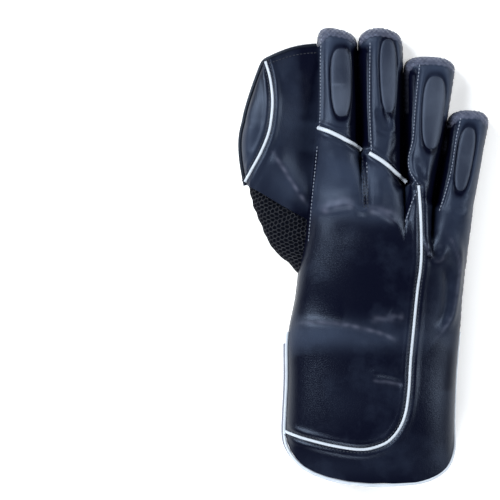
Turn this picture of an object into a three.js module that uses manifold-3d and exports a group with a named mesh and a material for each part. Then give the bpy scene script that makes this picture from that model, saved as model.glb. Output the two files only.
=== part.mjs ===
// Wicketkeeping glove for the right hand, lying palm down with its back up.
// Millimetres, +Z up, fingertips towards +Y, thumb and web towards -X.
// Leather makes the back, dimpled rubber the palm side; every wall is hollow for the hand,
// which goes in through the open cuff.
import * as THREE from "three";
import { mergeVertices } from "three/addons/utils/BufferGeometryUtils.js";
import Module from "manifold-3d";

const wasm = await Module();
wasm.setup();

// Driving sizes
const gloveLength = 336; // cuff hem to the tip of the middle stall
const cuffWidth = 126;
const backHeight = 47; // highest point of the back above the surface it lies on
const knuckleHeight = 41; // crown of the pleats where the stalls begin
const fingertipHeight = 25;
const palmLift = 4; // how far the knuckles arch off the surface
const seamShare = 0.43; // height of the side seam, as a share of the section
const knuckleWidth = 117.3; // across the four stalls where they begin
const knuckleShift = 18; // the knuckles lie this far towards the little finger
const leatherWall = 2;
const rubberWall = 3;
const clearance = 0.3; // between neighbouring pieces
const fingerGap = 0.6; // between neighbouring stalls
const tipRounding = 13;
const pleatLength = 42; // pleats between the fingers run this far down the back
const valleyRise = 7; // floor of a pleat above the side seam
const cornerRise = 36; // how far the cuff's round corners climb the sides
const pipingDiameter = 2.8;
const knucklePipingDiameter = 4;
const bindingDiameter = 3.4;
const pipingSteps = 30;
const sliver = 0.004; // faces thinner than this are merged with their neighbours after a cut
const padRise = 1.6; // finger protectors stand this proud
const wristShare = 0.44; // where the rubber palm ends, as a share of the hand's length
const thumbLength = 118;
const thumbWidth = 43;
const thumbHeight = 25;
const thumbLean = 22.7; // degrees, towards the web
const thumbInset = 15; // start of the thumb's axis inside the hand
const thumbRootShare = 0.632; // where that start lies, as a share of the hand's length
const webReach = 52;
const webTopDrop = 13.5; // below the tip of the index stall
const webBottomShare = 0.825; // lower end of the web, as a share of the hand's length
const webFacingWall = 2;
const webOuterHeight = 14; // underside of the web's free edge

// Stalls from the index to the little finger: width as a share of the knuckles' width, length
// as a share of the glove's. The oval protector on each has its middle across and along the
// stall, and its width and length, all as shares of the stall's own.
const fingers = [
  { name: "index", width: 0.293, length: 0.2477, padAcross: 0.08, padAlong: 0.51, padWidth: 0.5, padLength: 0.62 },
  { name: "middle", width: 0.284, length: 0.3112, padAcross: 0.15, padAlong: 0.65, padWidth: 0.46, padLength: 0.53 },
  { name: "ring", width: 0.18, length: 0.3149, padAcross: 0.14, padAlong: 0.6, padWidth: 0.5, padLength: 0.52 },
  { name: "little", width: 0.243, length: 0.2182, padAcross: 0.05, padAlong: 0.5, padWidth: 0.4, padLength: 0.66 },
];
// Crotches from the thumb side on: rise above the root of the middle stall as a share of the
// knuckles' width, and lean of the line between the two stalls in degrees
const crotches = [
  { rise: 0.246, lean: 1.3 },
  { rise: 0.107, lean: -1 },
  { rise: -0.107, lean: -0.2 },
  { rise: -0.278, lean: 9.5 },
  { rise: -0.234, lean: 11.3 },
];
// Fullness of a stall, as shares of its length and width
const fullness = [
  { at: 0, width: 1 },
  { at: 0.8, width: 1 },
  { at: 1, width: 0.97 },
];
// Sections of the hand and cuff: at is a share of the hand's length, left and right go from
// the cuff's sides at 0 to the knuckles' at 1, top and bottom are shares of the back's height.
// Below 0 the bottom is pressed flat where the glove lies.
const handSections = [
  { at: 0, left: 0, right: 0, top: 0.95, bottom: -0.01 },
  { at: 0.17, left: 0, right: -0.09, top: 1, bottom: -0.01 },
  { at: 0.33, left: 0.09, right: 0, top: 0.97, bottom: -0.01 },
  { at: 0.46, left: 0.06, right: 0.19, top: 0.92, bottom: 0 },
  { at: 0.505, left: 0.15, right: 0.27, top: 0.9, bottom: 0.015 },
  { at: 0.585, left: 0.345, right: 0.34, top: 0.93, bottom: 0 },
  { at: 0.67, left: 0.42, right: 0.5, top: 0.97, bottom: -0.01 },
  { at: 0.78, left: 0.65, right: 0.74, top: 0.98, bottom: 0 },
  { at: 0.885, left: 0.73, right: 0.98, top: 0.94, bottom: 0.05 },
  { at: 1, left: 0.82, right: 1, top: 0.89, bottom: 0.085 },
  { at: 1.125, left: 1, right: 1, top: 0.87, bottom: 0.085 },
];
// Outline of the cuff's hem: shares of the width and of the corner's rise
const hemCorners = [
  { across: 0, rise: 1 },
  { across: 0.023, rise: 0.68 },
  { across: 0.108, rise: 0.35 },
  { across: 0.249, rise: 0.14 },
  { across: 0.484, rise: 0 },
  { across: 0.766, rise: 0.01 },
  { across: 0.877, rise: 0.15 },
  { across: 0.954, rise: 0.35 },
  { across: 0.99, rise: 0.65 },
  { across: 1, rise: 1 },
];
// Folds and dents of the back: middle as shares of the cuff's width from its centre and of
// the hand's length, reach along and across as shares of the cuff's width, turn in degrees,
// height as a share of the back's height
const backFolds = [
  { x: -0.1, y: 0.515, along: 0.62, across: 0.035, turn: -6, height: 0.035 },
  { x: -0.02, y: 0.72, along: 0.3, across: 0.16, turn: -12, height: -0.05 },
  { x: -0.08, y: 0.855, along: 0.2, across: 0.05, turn: -8, height: 0.03 },
  { x: 0.36, y: 0.74, along: 0.1, across: 0.06, turn: 60, height: -0.06 },
  { x: 0.42, y: 0.6, along: 0.2, across: 0.06, turn: 80, height: 0.04 },
  { x: 0.34, y: 0.44, along: 0.13, across: 0.05, turn: 35, height: -0.05 },
];
// Sewn channels of the palm, read in the same way
const palmChannels = [
  { x: 0.08, y: 0.83, along: 0.4, across: 0.03, turn: -24, height: -0.07 },
  { x: -0.08, y: 0.68, along: 0.24, across: 0.03, turn: -58, height: -0.08 },
  { x: 0.16, y: 0.63, along: 0.24, across: 0.03, turn: -40, height: -0.06 },
];
// The long piping on the back: shares of the cuff's width and of the hand's length
const backPipingRoute = [
  { x: 0.275, y: 0.935 },
  { x: 0.282, y: 0.832 },
  { x: 0.286, y: 0.732 },
  { x: 0.266, y: 0.62 },
  { x: 0.242, y: 0.483 },
  { x: 0.225, y: 0.39 },
  { x: 0.216, y: 0.291 },
  { x: 0.201, y: 0.233 },
  { x: 0.166, y: 0.179 },
  { x: 0.054, y: 0.118 },
  { x: -0.057, y: 0.1055 },
  { x: -0.222, y: 0.118 },
  { x: -0.392, y: 0.141 },
  { x: -0.478, y: 0.157 },
];
// The web from its top to its lower end: reach and drop of its free edge, shares of its reach
const webEdge = [
  { at: 0, reach: 0.754, drop: 0.227 },
  { at: 0.2, reach: 0.875, drop: 0.08 },
  { at: 0.4, reach: 0.98, drop: -0.04 },
  { at: 0.6, reach: 1, drop: -0.26 },
  { at: 0.8, reach: 0.946, drop: -0.407 },
  { at: 1, reach: 0.846, drop: -0.54 },
];
// The web's piping: share of the web from top to lower end, and out from the index stall
const webPipingRoute = [
  { down: 0.01, out: 0.97 },
  { down: 0.108, out: 0.877 },
  { down: 0.292, out: 0.7 },
  { down: 0.416, out: 0.652 },
  { down: 0.55, out: 0.65 },
  { down: 0.685, out: 0.718 },
  { down: 0.82, out: 0.824 },
  { down: 0.92, out: 0.92 },
];
// Thumb stall: shares of its length and width
const thumbFullness = [
  { at: 0, width: 0.3 },
  { at: 0.12, width: 0.49 },
  { at: 0.2, width: 0.66 },
  { at: 0.28, width: 0.9 },
  { at: 0.37, width: 1 },
  { at: 0.6, width: 1 },
  { at: 0.8, width: 0.82 },
  { at: 1, width: 0.72 },
];

const materials = {
  leather: new THREE.MeshStandardMaterial({ color: 0x1b2030, roughness: 0.45, metalness: 0 }),
  pad: new THREE.MeshStandardMaterial({ color: 0x2a303f, roughness: 0.4, metalness: 0 }),
  rubber: new THREE.MeshStandardMaterial({ color: 0x14181f, roughness: 0.6, metalness: 0 }),
  piping: new THREE.MeshStandardMaterial({ color: 0xe8edf2, roughness: 0.45, metalness: 0 }),
  binding: new THREE.MeshStandardMaterial({ color: 0x11141c, roughness: 0.5, metalness: 0 }),
};

// Small maths
const clamp = (v, low, high) => Math.min(high, Math.max(low, v));
const lerp = (a, b, t) => a + (b - a) * t;
const smooth = (t) => {
  const c = clamp(t, 0, 1);
  return c * c * (3 - 2 * c);
};
const radians = THREE.MathUtils.degToRad;
const arch = (t, power) => Math.pow(Math.max(0, 1 - Math.pow(Math.min(1, Math.abs(t)), power)), 1 / power);

// Reads one column of a table at a place along another column, in straight steps.
function read(table, along, column, place) {
  const last = table.length - 1;
  if (place <= table[0][along]) return table[0][column];
  for (let i = 1; i <= last; i++) {
    if (place <= table[i][along]) {
      const share = (place - table[i - 1][along]) / (table[i][along] - table[i - 1][along]);
      return lerp(table[i - 1][column], table[i][column], share);
    }
  }
  return table[last][column];
}

// Solids
// Closes two grids of points, one over the other, into a thin solid with a rim all round.
function slab(upper, lower) {
  const points = [];
  const index = [];
  const places = new Map();
  const place = (p) => {
    const key = [p.x, p.y, p.z].map((v) => Math.round(v * 1e4)).join();
    if (!places.has(key)) {
      places.set(key, points.length);
      points.push(p);
    }
    return places.get(key);
  };
  const triangle = (a, b, c) => {
    const [i, j, k] = [place(a), place(b), place(c)];
    if (i !== j && j !== k && k !== i) index.push(i, j, k);
  };
  const quad = (a, b, c, d) => {
    triangle(a, b, c);
    triangle(a, c, d);
  };
  const rows = upper.length - 1;
  const columns = upper[0].length - 1;
  for (let r = 0; r < rows; r++) {
    for (let c = 0; c < columns; c++) {
      quad(upper[r][c], upper[r][c + 1], upper[r + 1][c + 1], upper[r + 1][c]);
      quad(lower[r][c], lower[r + 1][c], lower[r + 1][c + 1], lower[r][c + 1]);
    }
    quad(upper[r][0], upper[r + 1][0], lower[r + 1][0], lower[r][0]);
    quad(upper[r + 1][columns], upper[r][columns], lower[r][columns], lower[r + 1][columns]);
  }
  for (let c = 0; c < columns; c++) {
    quad(upper[0][c + 1], upper[0][c], lower[0][c], lower[0][c + 1]);
    quad(upper[rows][c], upper[rows][c + 1], lower[rows][c + 1], lower[rows][c]);
  }
  const geometry = new THREE.BufferGeometry().setFromPoints(points);
  geometry.setIndex(index);
  return solid(geometry);
}

// A three.js geometry as a manifold solid that faces out.
function solid(geometry) {
  const bare = geometry.clone();
  bare.deleteAttribute("normal");
  bare.deleteAttribute("uv");
  const merged = mergeVertices(bare, 1e-4);
  const triVerts = new Uint32Array(merged.index.array);
  const vertProperties = new Float32Array(merged.attributes.position.array);
  const made = new wasm.Manifold(new wasm.Mesh({ numProp: 3, vertProperties, triVerts }));
  if (made.volume() > 0) return made;
  for (let i = 0; i < triVerts.length; i += 3) [triVerts[i + 1], triVerts[i + 2]] = [triVerts[i + 2], triVerts[i + 1]];
  return new wasm.Manifold(new wasm.Mesh({ numProp: 3, vertProperties, triVerts }));
}

// The main body of a cut solid, without the crumbs and sliver faces that a cut can leave.
function mainBody(cut) {
  const body = cut.decompose().reduce((a, b) => (a.volume() > b.volume() ? a : b));
  return body.simplify(sliver);
}

function grid(rows, columns, at) {
  return rows.map((r) => columns.map((c) => at(r, c)));
}
const steps = (count) => Array.from({ length: count + 1 }, (_, i) => i / count);

// A round cord along a curve.
function tube(points, diameter, count, sides = 6) {
  const circle = new THREE.Shape(
    steps(sides).slice(0, sides).map((s) => {
      const angle = s * 2 * Math.PI;
      return new THREE.Vector2((Math.cos(angle) * diameter) / 2, (Math.sin(angle) * diameter) / 2);
    }),
  );
  const extrudePath = new THREE.CatmullRomCurve3(points);
  return solid(new THREE.ExtrudeGeometry(circle, { steps: count, extrudePath, bevelEnabled: false }));
}

// An upright block over a closed outline.
function block(outline, low, high) {
  const shape = new THREE.Shape(outline);
  const geometry = new THREE.ExtrudeGeometry(shape, { depth: high - low, bevelEnabled: false, curveSegments: 12 });
  return solid(geometry.translate(0, 0, low));
}

// The hand and cuff
const handLength = gloveLength * (1 - fingers[1].length);
const shares = fingers.reduce((list, finger) => [...list, list.at(-1) + finger.width], [0]);
const cuffLeft = -cuffWidth / 2;
const cuffRight = cuffWidth / 2;
const knuckleLeft = knuckleShift - knuckleWidth / 2;
const knuckleRight = knuckleShift + knuckleWidth / 2;
const handRow = (column, y) => read(handSections, "at", column, y / handLength);
const seamZ = (y) => lerp(handRow("bottom", y), handRow("top", y), seamShare) * backHeight;
const handLeft = (y) => lerp(cuffLeft, knuckleLeft, handRow("left", y));
const handRight = (y) => lerp(cuffRight, knuckleRight, handRow("right", y));
const handX = (share, y) => lerp(handLeft(y), handRight(y), share);

// The line where the stalls begin, and the hem, over a share of the width
const crotchRows = crotches.map((crotch, k) => ({ share: shares[k], y: handLength + crotch.rise * knuckleWidth }));
const knuckleY = (share) => read(crotchRows, "share", "y", share);
const hemY = (share) => cornerRise * read(hemCorners, "across", "rise", share);

function foldHeight(table, x, y) {
  return table.reduce((sum, fold) => {
    const dx = x - fold.x * cuffWidth;
    const dy = y - fold.y * handLength;
    const turn = radians(fold.turn);
    const u = (dx * Math.cos(turn) + dy * Math.sin(turn)) / (fold.along * cuffWidth);
    const v = (dy * Math.cos(turn) - dx * Math.sin(turn)) / (fold.across * cuffWidth);
    return sum + fold.height * backHeight * Math.exp(-u * u - v * v);
  }, 0);
}

// Height of the back or palm surface over a point; inset is the depth below the outer surface.
function handHeight(share, y, up, inset) {
  const wide = handRight(y) - handLeft(y);
  const bottom = handRow("bottom", y) * backHeight;
  const top = handRow("top", y) * backHeight;
  const seam = seamZ(y);
  const reach = up ? top - seam : seam - bottom;
  const t = (2 * share - 1) * (wide / (wide - 2 * inset));
  const plain = (reach - inset) * arch(t, up ? 2.3 : 3.4);
  let k = 0;
  while (k < fingers.length - 1 && share > shares[k + 1]) k++;
  const half = ((shares[k + 1] - shares[k]) * wide) / 2;
  const across = (share - (shares[k] + shares[k + 1]) / 2) * wide;
  const outer = (k === 0 && across < 0) || (k === fingers.length - 1 && across > 0);
  const floor = outer ? 0 : valleyRise - inset;
  const crown = (up ? knuckleHeight : seam - palmLift + seam) - seam - inset;
  const hump = floor + (crown - floor) * arch(across / (half - inset), 2.6);
  const pleat = smooth((y - knuckleY(share) + pleatLength) / pleatLength);
  const edgeFade = arch(t, 2);
  const folds = foldHeight(up ? backFolds : palmChannels, handX(share, y), y) * edgeFade;
  const z = lerp(plain + folds, hump, pleat);
  return up ? seam + z : seam - z;
}

// Columns crowd together at both sides of each stall.
const handColumns = [0];
fingers.forEach((finger, k) => {
  const count = finger.name === "ring" ? 5 : 6;
  for (let j = 1; j <= count; j++) {
    handColumns.push(lerp(shares[k], shares[k + 1], (1 - Math.cos((Math.PI * j) / count)) / 2));
  }
});

function handGrid(up, inset, from, to, rows) {
  return grid(rows, handColumns, (v, share) => {
    const near = lerp(from(share), to(share), v);
    const margin = inset / (handRight(near) - handLeft(near));
    const place = lerp(margin, 1 - margin, share);
    const y = lerp(from(place), to(place), v);
    const height = handHeight(place, y, up, inset);
    const split = (clearance / 2) * (up ? 1 : -1);
    const z = up ? Math.max(height, seamZ(y) + split) : Math.min(height, seamZ(y) + split);
    return new THREE.Vector3(handX(place, y), y, Math.max(z, inset));
  });
}

const handRows = steps(17);
function handShell(up, wall, from, to, rows) {
  return slab(handGrid(up, 0, from, to, rows), handGrid(up, wall, from, to, rows));
}
// The whole hand as one closed solid, grown by a clearance.
function handSolid(grow) {
  const rows = [...handRows, 1 + grow / handLength];
  return slab(handGrid(true, -grow, hemY, knuckleY, rows), handGrid(false, -grow, hemY, knuckleY, rows));
}
const handBlank = handSolid(clearance);

// Everything on the hand's side of the line where the stalls begin
const knuckleLine = crotchRows.map((row) => new THREE.Vector2(handX(row.share, row.y), row.y + clearance));
const knuckleBlock = block(
  [
    new THREE.Vector2(knuckleLine[0].x - cuffWidth, 0),
    new THREE.Vector2(knuckleLine.at(-1).x + cuffWidth, 0),
    new THREE.Vector2(knuckleLine.at(-1).x + cuffWidth, knuckleLine.at(-1).y),
    ...knuckleLine.toReversed(),
    new THREE.Vector2(knuckleLine[0].x - cuffWidth, knuckleLine[0].y),
  ],
  -backHeight,
  2 * backHeight,
);

// The finger stalls
fingers.forEach((finger, k) => {
  finger.sides = [k, k + 1].map((n) => {
    const { y } = crotchRows[n];
    return { x: handX(shares[n], y), y, slope: Math.tan(radians(crotches[n].lean)) };
  });
  finger.rootY = (finger.sides[0].y + finger.sides[1].y) / 2;
  finger.reach = finger.length * gloveLength;
  finger.tipY = finger.rootY + finger.reach;
});
const sideX = (side, y) => side.x + side.slope * (y - side.y);

function stallSection(finger, y, inset) {
  const along = clamp((y - finger.rootY) / finger.reach, 0, 1);
  const [left, right] = finger.sides.map((side) => sideX(side, y));
  const u = clamp((y - finger.tipY + tipRounding) / (tipRounding - inset), 0, 1);
  const slope = smooth((y - finger.rootY) / (finger.reach - tipRounding));
  const top = lerp(knuckleHeight, fingertipHeight, slope);
  const bottom = palmLift * (1 - slope);
  const seam = lerp(bottom, top, seamShare);
  return {
    x: (left + right) / 2,
    half: (((right - left) / 2) * read(fullness, "at", "width", along) - fingerGap / 2 - inset) * arch(u, 3),
    seam,
    up: (top - seam - inset) * arch(u, 2.4),
    down: (seam - bottom - inset) * arch(u, 2.4),
  };
}

// One point of a stall: turn goes round the section from the little-finger side, 0 to pi over
// the back and pi to 2 pi under the palm side.
function stallPoint(finger, y, turn, inset, split) {
  const s = stallSection(finger, y, inset);
  const back = Math.sin(turn) >= 0;
  const power = 2 / (back ? 2.5 : 3);
  const c = Math.cos(turn);
  const across = Math.sign(c) * Math.abs(c) ** power;
  const lift = Math.abs(Math.sin(turn)) ** power;
  const rise = split + Math.max(0, (back ? s.up : s.down) - split) * lift;
  return new THREE.Vector3(s.x + s.half * across, y, s.seam + (back ? rise : -rise));
}

const tipSteps = [0, 0.3, 0.55, 0.75, 0.9, 1];
function stallRows(finger, inset, from) {
  const shoulder = finger.tipY - tipRounding;
  const shaft = steps(4).slice(0, 4).map((v) => lerp(from, shoulder, v));
  return [...shaft, ...tipSteps.map((u) => shoulder + u * (tipRounding - inset))];
}
const stallStart = (finger) => Math.min(finger.sides[0].y, finger.sides[1].y) - 10;

function stallGrid(finger, inset, turns) {
  return grid(stallRows(finger, inset, stallStart(finger)), turns, (y, turn) =>
    stallPoint(finger, y, turn, inset, turns.split),
  );
}
const halfTurns = (from, split) => Object.assign(steps(8).map((s) => from + s * Math.PI), { split });

function stallHalf(finger, from, wall) {
  const turns = halfTurns(from, clearance / 2);
  return mainBody(slab(stallGrid(finger, 0, turns), stallGrid(finger, wall, turns)).subtract(knuckleBlock));
}
// The whole stall as one closed solid, grown by a clearance.
function stallSolid(finger, grow) {
  return slab(stallGrid(finger, -grow, halfTurns(0, 0)), stallGrid(finger, -grow, mirrorTurns()));
}
const mirrorTurns = () => Object.assign(steps(8).map((s) => -s * Math.PI), { split: 0 });

// An oval finger protector, lying on the back of its stall.
function fingerPad(finger) {
  const y = lerp(finger.rootY, finger.tipY, finger.padAlong);
  const section = stallSection(finger, y, 0);
  const x = section.x + finger.padAcross * 2 * section.half;
  const lean = Math.atan((finger.sides[0].slope + finger.sides[1].slope) / 2);
  const outline = steps(20).slice(0, 20).map((s) => {
    const angle = s * 2 * Math.PI;
    const u = Math.sign(Math.cos(angle)) * Math.abs(Math.cos(angle)) ** 0.8 * finger.padWidth * section.half;
    const v = (Math.sign(Math.sin(angle)) * Math.abs(Math.sin(angle)) ** 0.8 * finger.padLength * finger.reach) / 2;
    return new THREE.Vector2(x + u * Math.cos(lean) + v * Math.sin(lean), y + v * Math.cos(lean) - u * Math.sin(lean));
  });
  const skin = stallSolid(finger, clearance + padRise).subtract(stallSolid(finger, clearance));
  return mainBody(skin.intersect(block(outline, section.seam + clearance, backHeight + padRise)));
}

// Highest point of the back over a place, on the hand or on a stall
function backZ(x, y) {
  const share = clamp((x - handLeft(y)) / (handRight(y) - handLeft(y)), 0.001, 0.999);
  if (y <= knuckleY(share)) return handHeight(share, y, true, 0);
  const finger = fingers.find((f) => x <= sideX(f.sides[1], y)) ?? fingers.at(-1);
  const s = stallSection(finger, y, 0);
  return s.seam + s.up * arch((x - s.x) / s.half, 2.5);
}

// The long piping parts the back in two panels.
const routePoint = ({ x, y }) => new THREE.Vector2(x * cuffWidth, y * handLength);
const pipingSink = leatherWall - pipingDiameter / 2 - clearance + 0.1;
const pipingLine = backPipingRoute.map(routePoint).map((p) => new THREE.Vector3(p.x, p.y, backZ(p.x, p.y) - pipingSink));
const pipingCurve = new THREE.CatmullRomCurve3(pipingLine);
// A block over the part of the back inside the piping's line, set off from that line.
function panelBlock(offset) {
  const line = steps(pipingSteps).map((s) => {
    const point = pipingCurve.getPointAt(s);
    const along = pipingCurve.getTangentAt(s).setZ(0).normalize();
    return new THREE.Vector2(point.x - along.y * offset, point.y + along.x * offset);
  });
  const top = new THREE.Vector2(line[0].x, gloveLength);
  const left = new THREE.Vector2(-cuffWidth, line.at(-1).y);
  return block([top, ...line, left, new THREE.Vector2(-cuffWidth, gloveLength)], 0, 2 * backHeight);
}

// Short pipings lie in the seam where a stall's back meets the hand.
function knucklePiping(k, grow) {
  const y = (share) => knuckleY(share) + clearance / 2;
  const from = lerp(shares[k], shares[k + 1], 0.1);
  const to = lerp(shares[k], shares[k + 1], 0.93);
  const points = steps(6).map((s) => {
    const share = lerp(from, to, s);
    const x = handX(share, y(share));
    return new THREE.Vector3(x, y(share), backZ(x, y(share) - clearance) - 0.6);
  });
  return tube(points, knucklePipingDiameter + 2 * grow, 8);
}

// The thumb stall, tucked under the web
const thumbRootY = thumbRootShare * handLength;
const thumbAxis = new THREE.Vector3(-Math.sin(radians(thumbLean)), Math.cos(radians(thumbLean)), 0);
const thumbSide = new THREE.Vector3(thumbAxis.y, -thumbAxis.x, 0);
const thumbStart = new THREE.Vector3(handLeft(thumbRootY) + thumbInset, thumbRootY, thumbHeight / 2);

function thumbPoint(along, turn, inset) {
  const reach = along * thumbLength;
  const u = clamp((reach - thumbLength + 1.4 * tipRounding) / (1.4 * tipRounding), 0, 1);
  const half = ((thumbWidth / 2) * read(thumbFullness, "at", "width", along) - inset) * arch(u, 2.6);
  const tall = (thumbHeight / 2 - inset) * arch(u, 2.4);
  const round = (v) => Math.sign(v) * Math.abs(v) ** (2 / 2.4);
  const centre = thumbStart.clone().addScaledVector(thumbAxis, reach - (inset * reach) / thumbLength);
  return centre.addScaledVector(thumbSide, half * round(Math.cos(turn))).setZ(thumbHeight / 2 + tall * round(Math.sin(turn)));
}
const tipShare = (u) => 1 - (1.4 * tipRounding * (1 - u)) / thumbLength;
const thumbRows = [0, 0.12, 0.2, 0.28, 0.37, 0.6, ...tipSteps.map(tipShare)];

function thumbShell(from, to, count, wall) {
  const turns = steps(count).map((s) => radians(lerp(from, to, s)));
  const outer = grid(thumbRows, turns, (a, turn) => thumbPoint(a, turn, 0));
  const inner = grid(thumbRows, turns, (a, turn) => thumbPoint(a, turn, wall));
  return mainBody(slab(outer, inner).subtract(handBlank));
}
function thumbSolid(inset) {
  const turns = steps(8).map((s) => s * Math.PI);
  const over = grid(thumbRows, turns, (a, turn) => thumbPoint(a, turn, inset));
  const under = grid(thumbRows, turns, (a, turn) => thumbPoint(a, -turn, inset));
  return slab(over, under);
}
const thumbHollow = thumbSolid(rubberWall);
const thumbBlank = thumbSolid(-clearance);

// The web, a curved sheet from the index stall and the hand's side out over the thumb
const index = fingers[0];
const webTopY = index.tipY - webTopDrop;
const webBottomY = webBottomShare * handLength;
const webCrown = thumbHeight + 2 * clearance + webFacingWall + leatherWall;
const rootSide = (y) => (y > index.sides[0].y ? sideX(index.sides[0], y) : handLeft(y));

function webPoint(down, out, depth) {
  const rootY = lerp(webTopY, webBottomY, down);
  const inside = 5; // the sheet starts inside the stall and is trimmed back to its side
  const rootX = rootSide(rootY) + inside;
  const reach = webReach * read(webEdge, "at", "reach", down) + inside;
  const drop = webReach * read(webEdge, "at", "drop", down);
  const rootZ = lerp(0.44 * webCrown + 6, 0.86 * webCrown, smooth(down * 1.3));
  const edgeZ = webOuterHeight + webFacingWall + leatherWall;
  const crest = 0.6;
  const crown = lerp(0.72, 1, smooth(down * 2.4)) * webCrown;
  const z = out < crest ? lerp(rootZ, crown, smooth(out / crest)) : edgeZ + (crown - edgeZ) * arch((out - crest) / (1 - crest), 2.8);
  const bulge = Math.sin(Math.PI * out) * 0.06 * webReach * (1 - smooth(down * 5));
  return new THREE.Vector3(rootX - reach * out, rootY - drop * out + bulge, z - depth);
}
const webRows = steps(10);
const webColumns = [0, 0.15, 0.3, 0.45, 0.6, 0.76, 0.88, 0.95, 1];
function webSheet(depth, wall) {
  const sheet = slab(
    grid(webRows, webColumns, (down, out) => webPoint(down, out, depth)),
    grid(webRows, webColumns, (down, out) => webPoint(down, out, depth + wall)),
  );
  return mainBody(sheet.subtract(handBlank).subtract(stallSolid(index, clearance)).subtract(thumbBlank));
}
// A place beside the web, a distance out along the surface's normal
function besideWeb(down, out, distance) {
  const step = 0.01;
  const across = webPoint(down, out, 0).sub(webPoint(down, out - step, 0));
  const along = webPoint(down + step, out, 0).sub(webPoint(down, out, 0));
  return webPoint(down, out, 0).addScaledVector(across.cross(along).normalize(), distance);
}
const webPiping = webPipingRoute.map(({ down, out }) => besideWeb(down, out, pipingDiameter / 2 + 1.5 * clearance));

// The binding runs along the web's top edge and free edge, just outside them.
function webBinding() {
  const depth = (webFacingWall + leatherWall) / 2;
  const outside = bindingDiameter / 2 + 2 * clearance;
  const beside = (from, to) => {
    const along = webPoint(...to, depth).sub(webPoint(...from, depth)).setZ(0).normalize();
    return webPoint(...to, depth).add(new THREE.Vector3(-along.y, along.x, 0).multiplyScalar(-outside));
  };
  const top = [0.15, 0.35, 0.55, 0.75, 0.9, 0.99].map((out) => beside([0, out - 0.05], [0, out]));
  const side = [0.02, 0.15, 0.3, 0.45, 0.6, 0.75, 0.9, 0.98].map((down) => beside([down - 0.02, 1], [down, 1]));
  const cord = tube([...top, ...side], bindingDiameter, 26);
  return mainBody(cord.subtract(stallSolid(index, clearance)).subtract(thumbBlank));
}

// Piping round a cuff flap: down one side, along the hem and up the other side
function cuffPiping(up) {
  const outside = pipingDiameter / 2 + 2 * clearance;
  const level = outside * (up ? 1 : -1);
  const startY = wristShare * handLength;
  const sidePoints = (x, sign) =>
    [1, 0.75, 0.5, 0.25, 0].map((s) => {
      const y = lerp(hemY(0), startY, s);
      return new THREE.Vector3(x(y) + sign * outside, y, seamZ(y) + level);
    });
  const hem = handColumns.slice(1, -1).map((share) => {
    const y = hemY(share);
    const slope = (hemY(share + 0.01) - hemY(share - 0.01)) / (0.02 * cuffWidth);
    const away = outside / Math.hypot(1, slope);
    const z = (handHeight(share, y, up, 0) + handHeight(share, y, up, leatherWall)) / 2;
    const lowest = pipingDiameter / 2;
    return new THREE.Vector3(handX(share, y) + slope * away, y - away, Math.max(z, lowest));
  });
  return tube([...sidePoints(handLeft, -1), ...hem, ...sidePoints(handRight, 1).reverse()], pipingDiameter, 36);
}

// The assembly
const glove = new THREE.Group();
function add(name, body, material) {
  const { numProp, vertProperties, triVerts } = body.getMesh();
  const position = new Float32Array((vertProperties.length / numProp) * 3);
  for (let i = 0; i < position.length / 3; i++) position.set(vertProperties.subarray(i * numProp, i * numProp + 3), i * 3);
  const geometry = new THREE.BufferGeometry();
  geometry.setAttribute("position", new THREE.BufferAttribute(position, 3));
  geometry.setIndex(new THREE.BufferAttribute(triVerts, 1));
  const mesh = new THREE.Mesh(geometry, materials[material]);
  mesh.name = name;
  glove.add(mesh);
}

const wristY = wristShare * handLength;
const knuckleCuts = [0, 1].map((k) => knucklePiping(k, clearance));
const knuckleCut = knuckleCuts[0].add(knuckleCuts[1]);

const pipingCut = tube(pipingLine, pipingDiameter + 2 * clearance, pipingSteps);
const slot = pipingDiameter / 2 + clearance;
const backShell = handShell(true, leatherWall, hemY, knuckleY, handRows)
  .subtract(thumbHollow)
  .subtract(knuckleCut);
add("back_panel", mainBody(backShell.intersect(panelBlock(-slot))), "leather");
add("side_panel", mainBody(backShell.subtract(panelBlock(slot))), "leather");
add("back_piping", tube(pipingLine, pipingDiameter, pipingSteps), "piping");

const palmShell = handShell(false, rubberWall, () => wristY + clearance, knuckleY, steps(9));
add("palm_facing", mainBody(palmShell.subtract(thumbHollow)), "rubber");
add("palm_cuff", mainBody(handShell(false, leatherWall, hemY, () => wristY, steps(5)).subtract(thumbHollow)), "leather");
add("cuff_back_piping", cuffPiping(true), "piping");
add("cuff_palm_piping", cuffPiping(false), "piping");

fingers.forEach((finger, k) => {
  const back = stallHalf(finger, 0, leatherWall);
  add(`${finger.name}_back`, mainBody(back.subtract(k < 2 ? knuckleCuts[k] : pipingCut)), "leather");
  add(`${finger.name}_front`, stallHalf(finger, Math.PI, rubberWall), "rubber");
  add(`${finger.name}_pad`, fingerPad(finger), "pad");
  if (k < 2) add(`${finger.name}_knuckle_piping`, knucklePiping(k, 0), "piping");
});

add("thumb_stall", thumbShell(62, 348, 12, rubberWall), "rubber");
add("thumb_gusset", thumbShell(-10.5, 60.5, 4, leatherWall), "leather");
add("web_back", webSheet(0, leatherWall), "leather");
add("web_facing", webSheet(leatherWall + clearance, webFacingWall), "rubber");
add("web_piping", tube(webPiping, pipingDiameter, 18), "piping");
add("web_binding", webBinding(), "binding");

// The origin is the middle of the glove's footprint, on the surface that it lies on.
const bounds = new THREE.Box3().setFromObject(glove);
const centre = bounds.getCenter(new THREE.Vector3());
glove.position.set(-centre.x, -centre.y, -bounds.min.z);

export default glove;
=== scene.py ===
import math

import bpy
import numpy as np
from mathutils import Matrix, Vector
from mathutils.bvhtree import BVHTree


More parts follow.
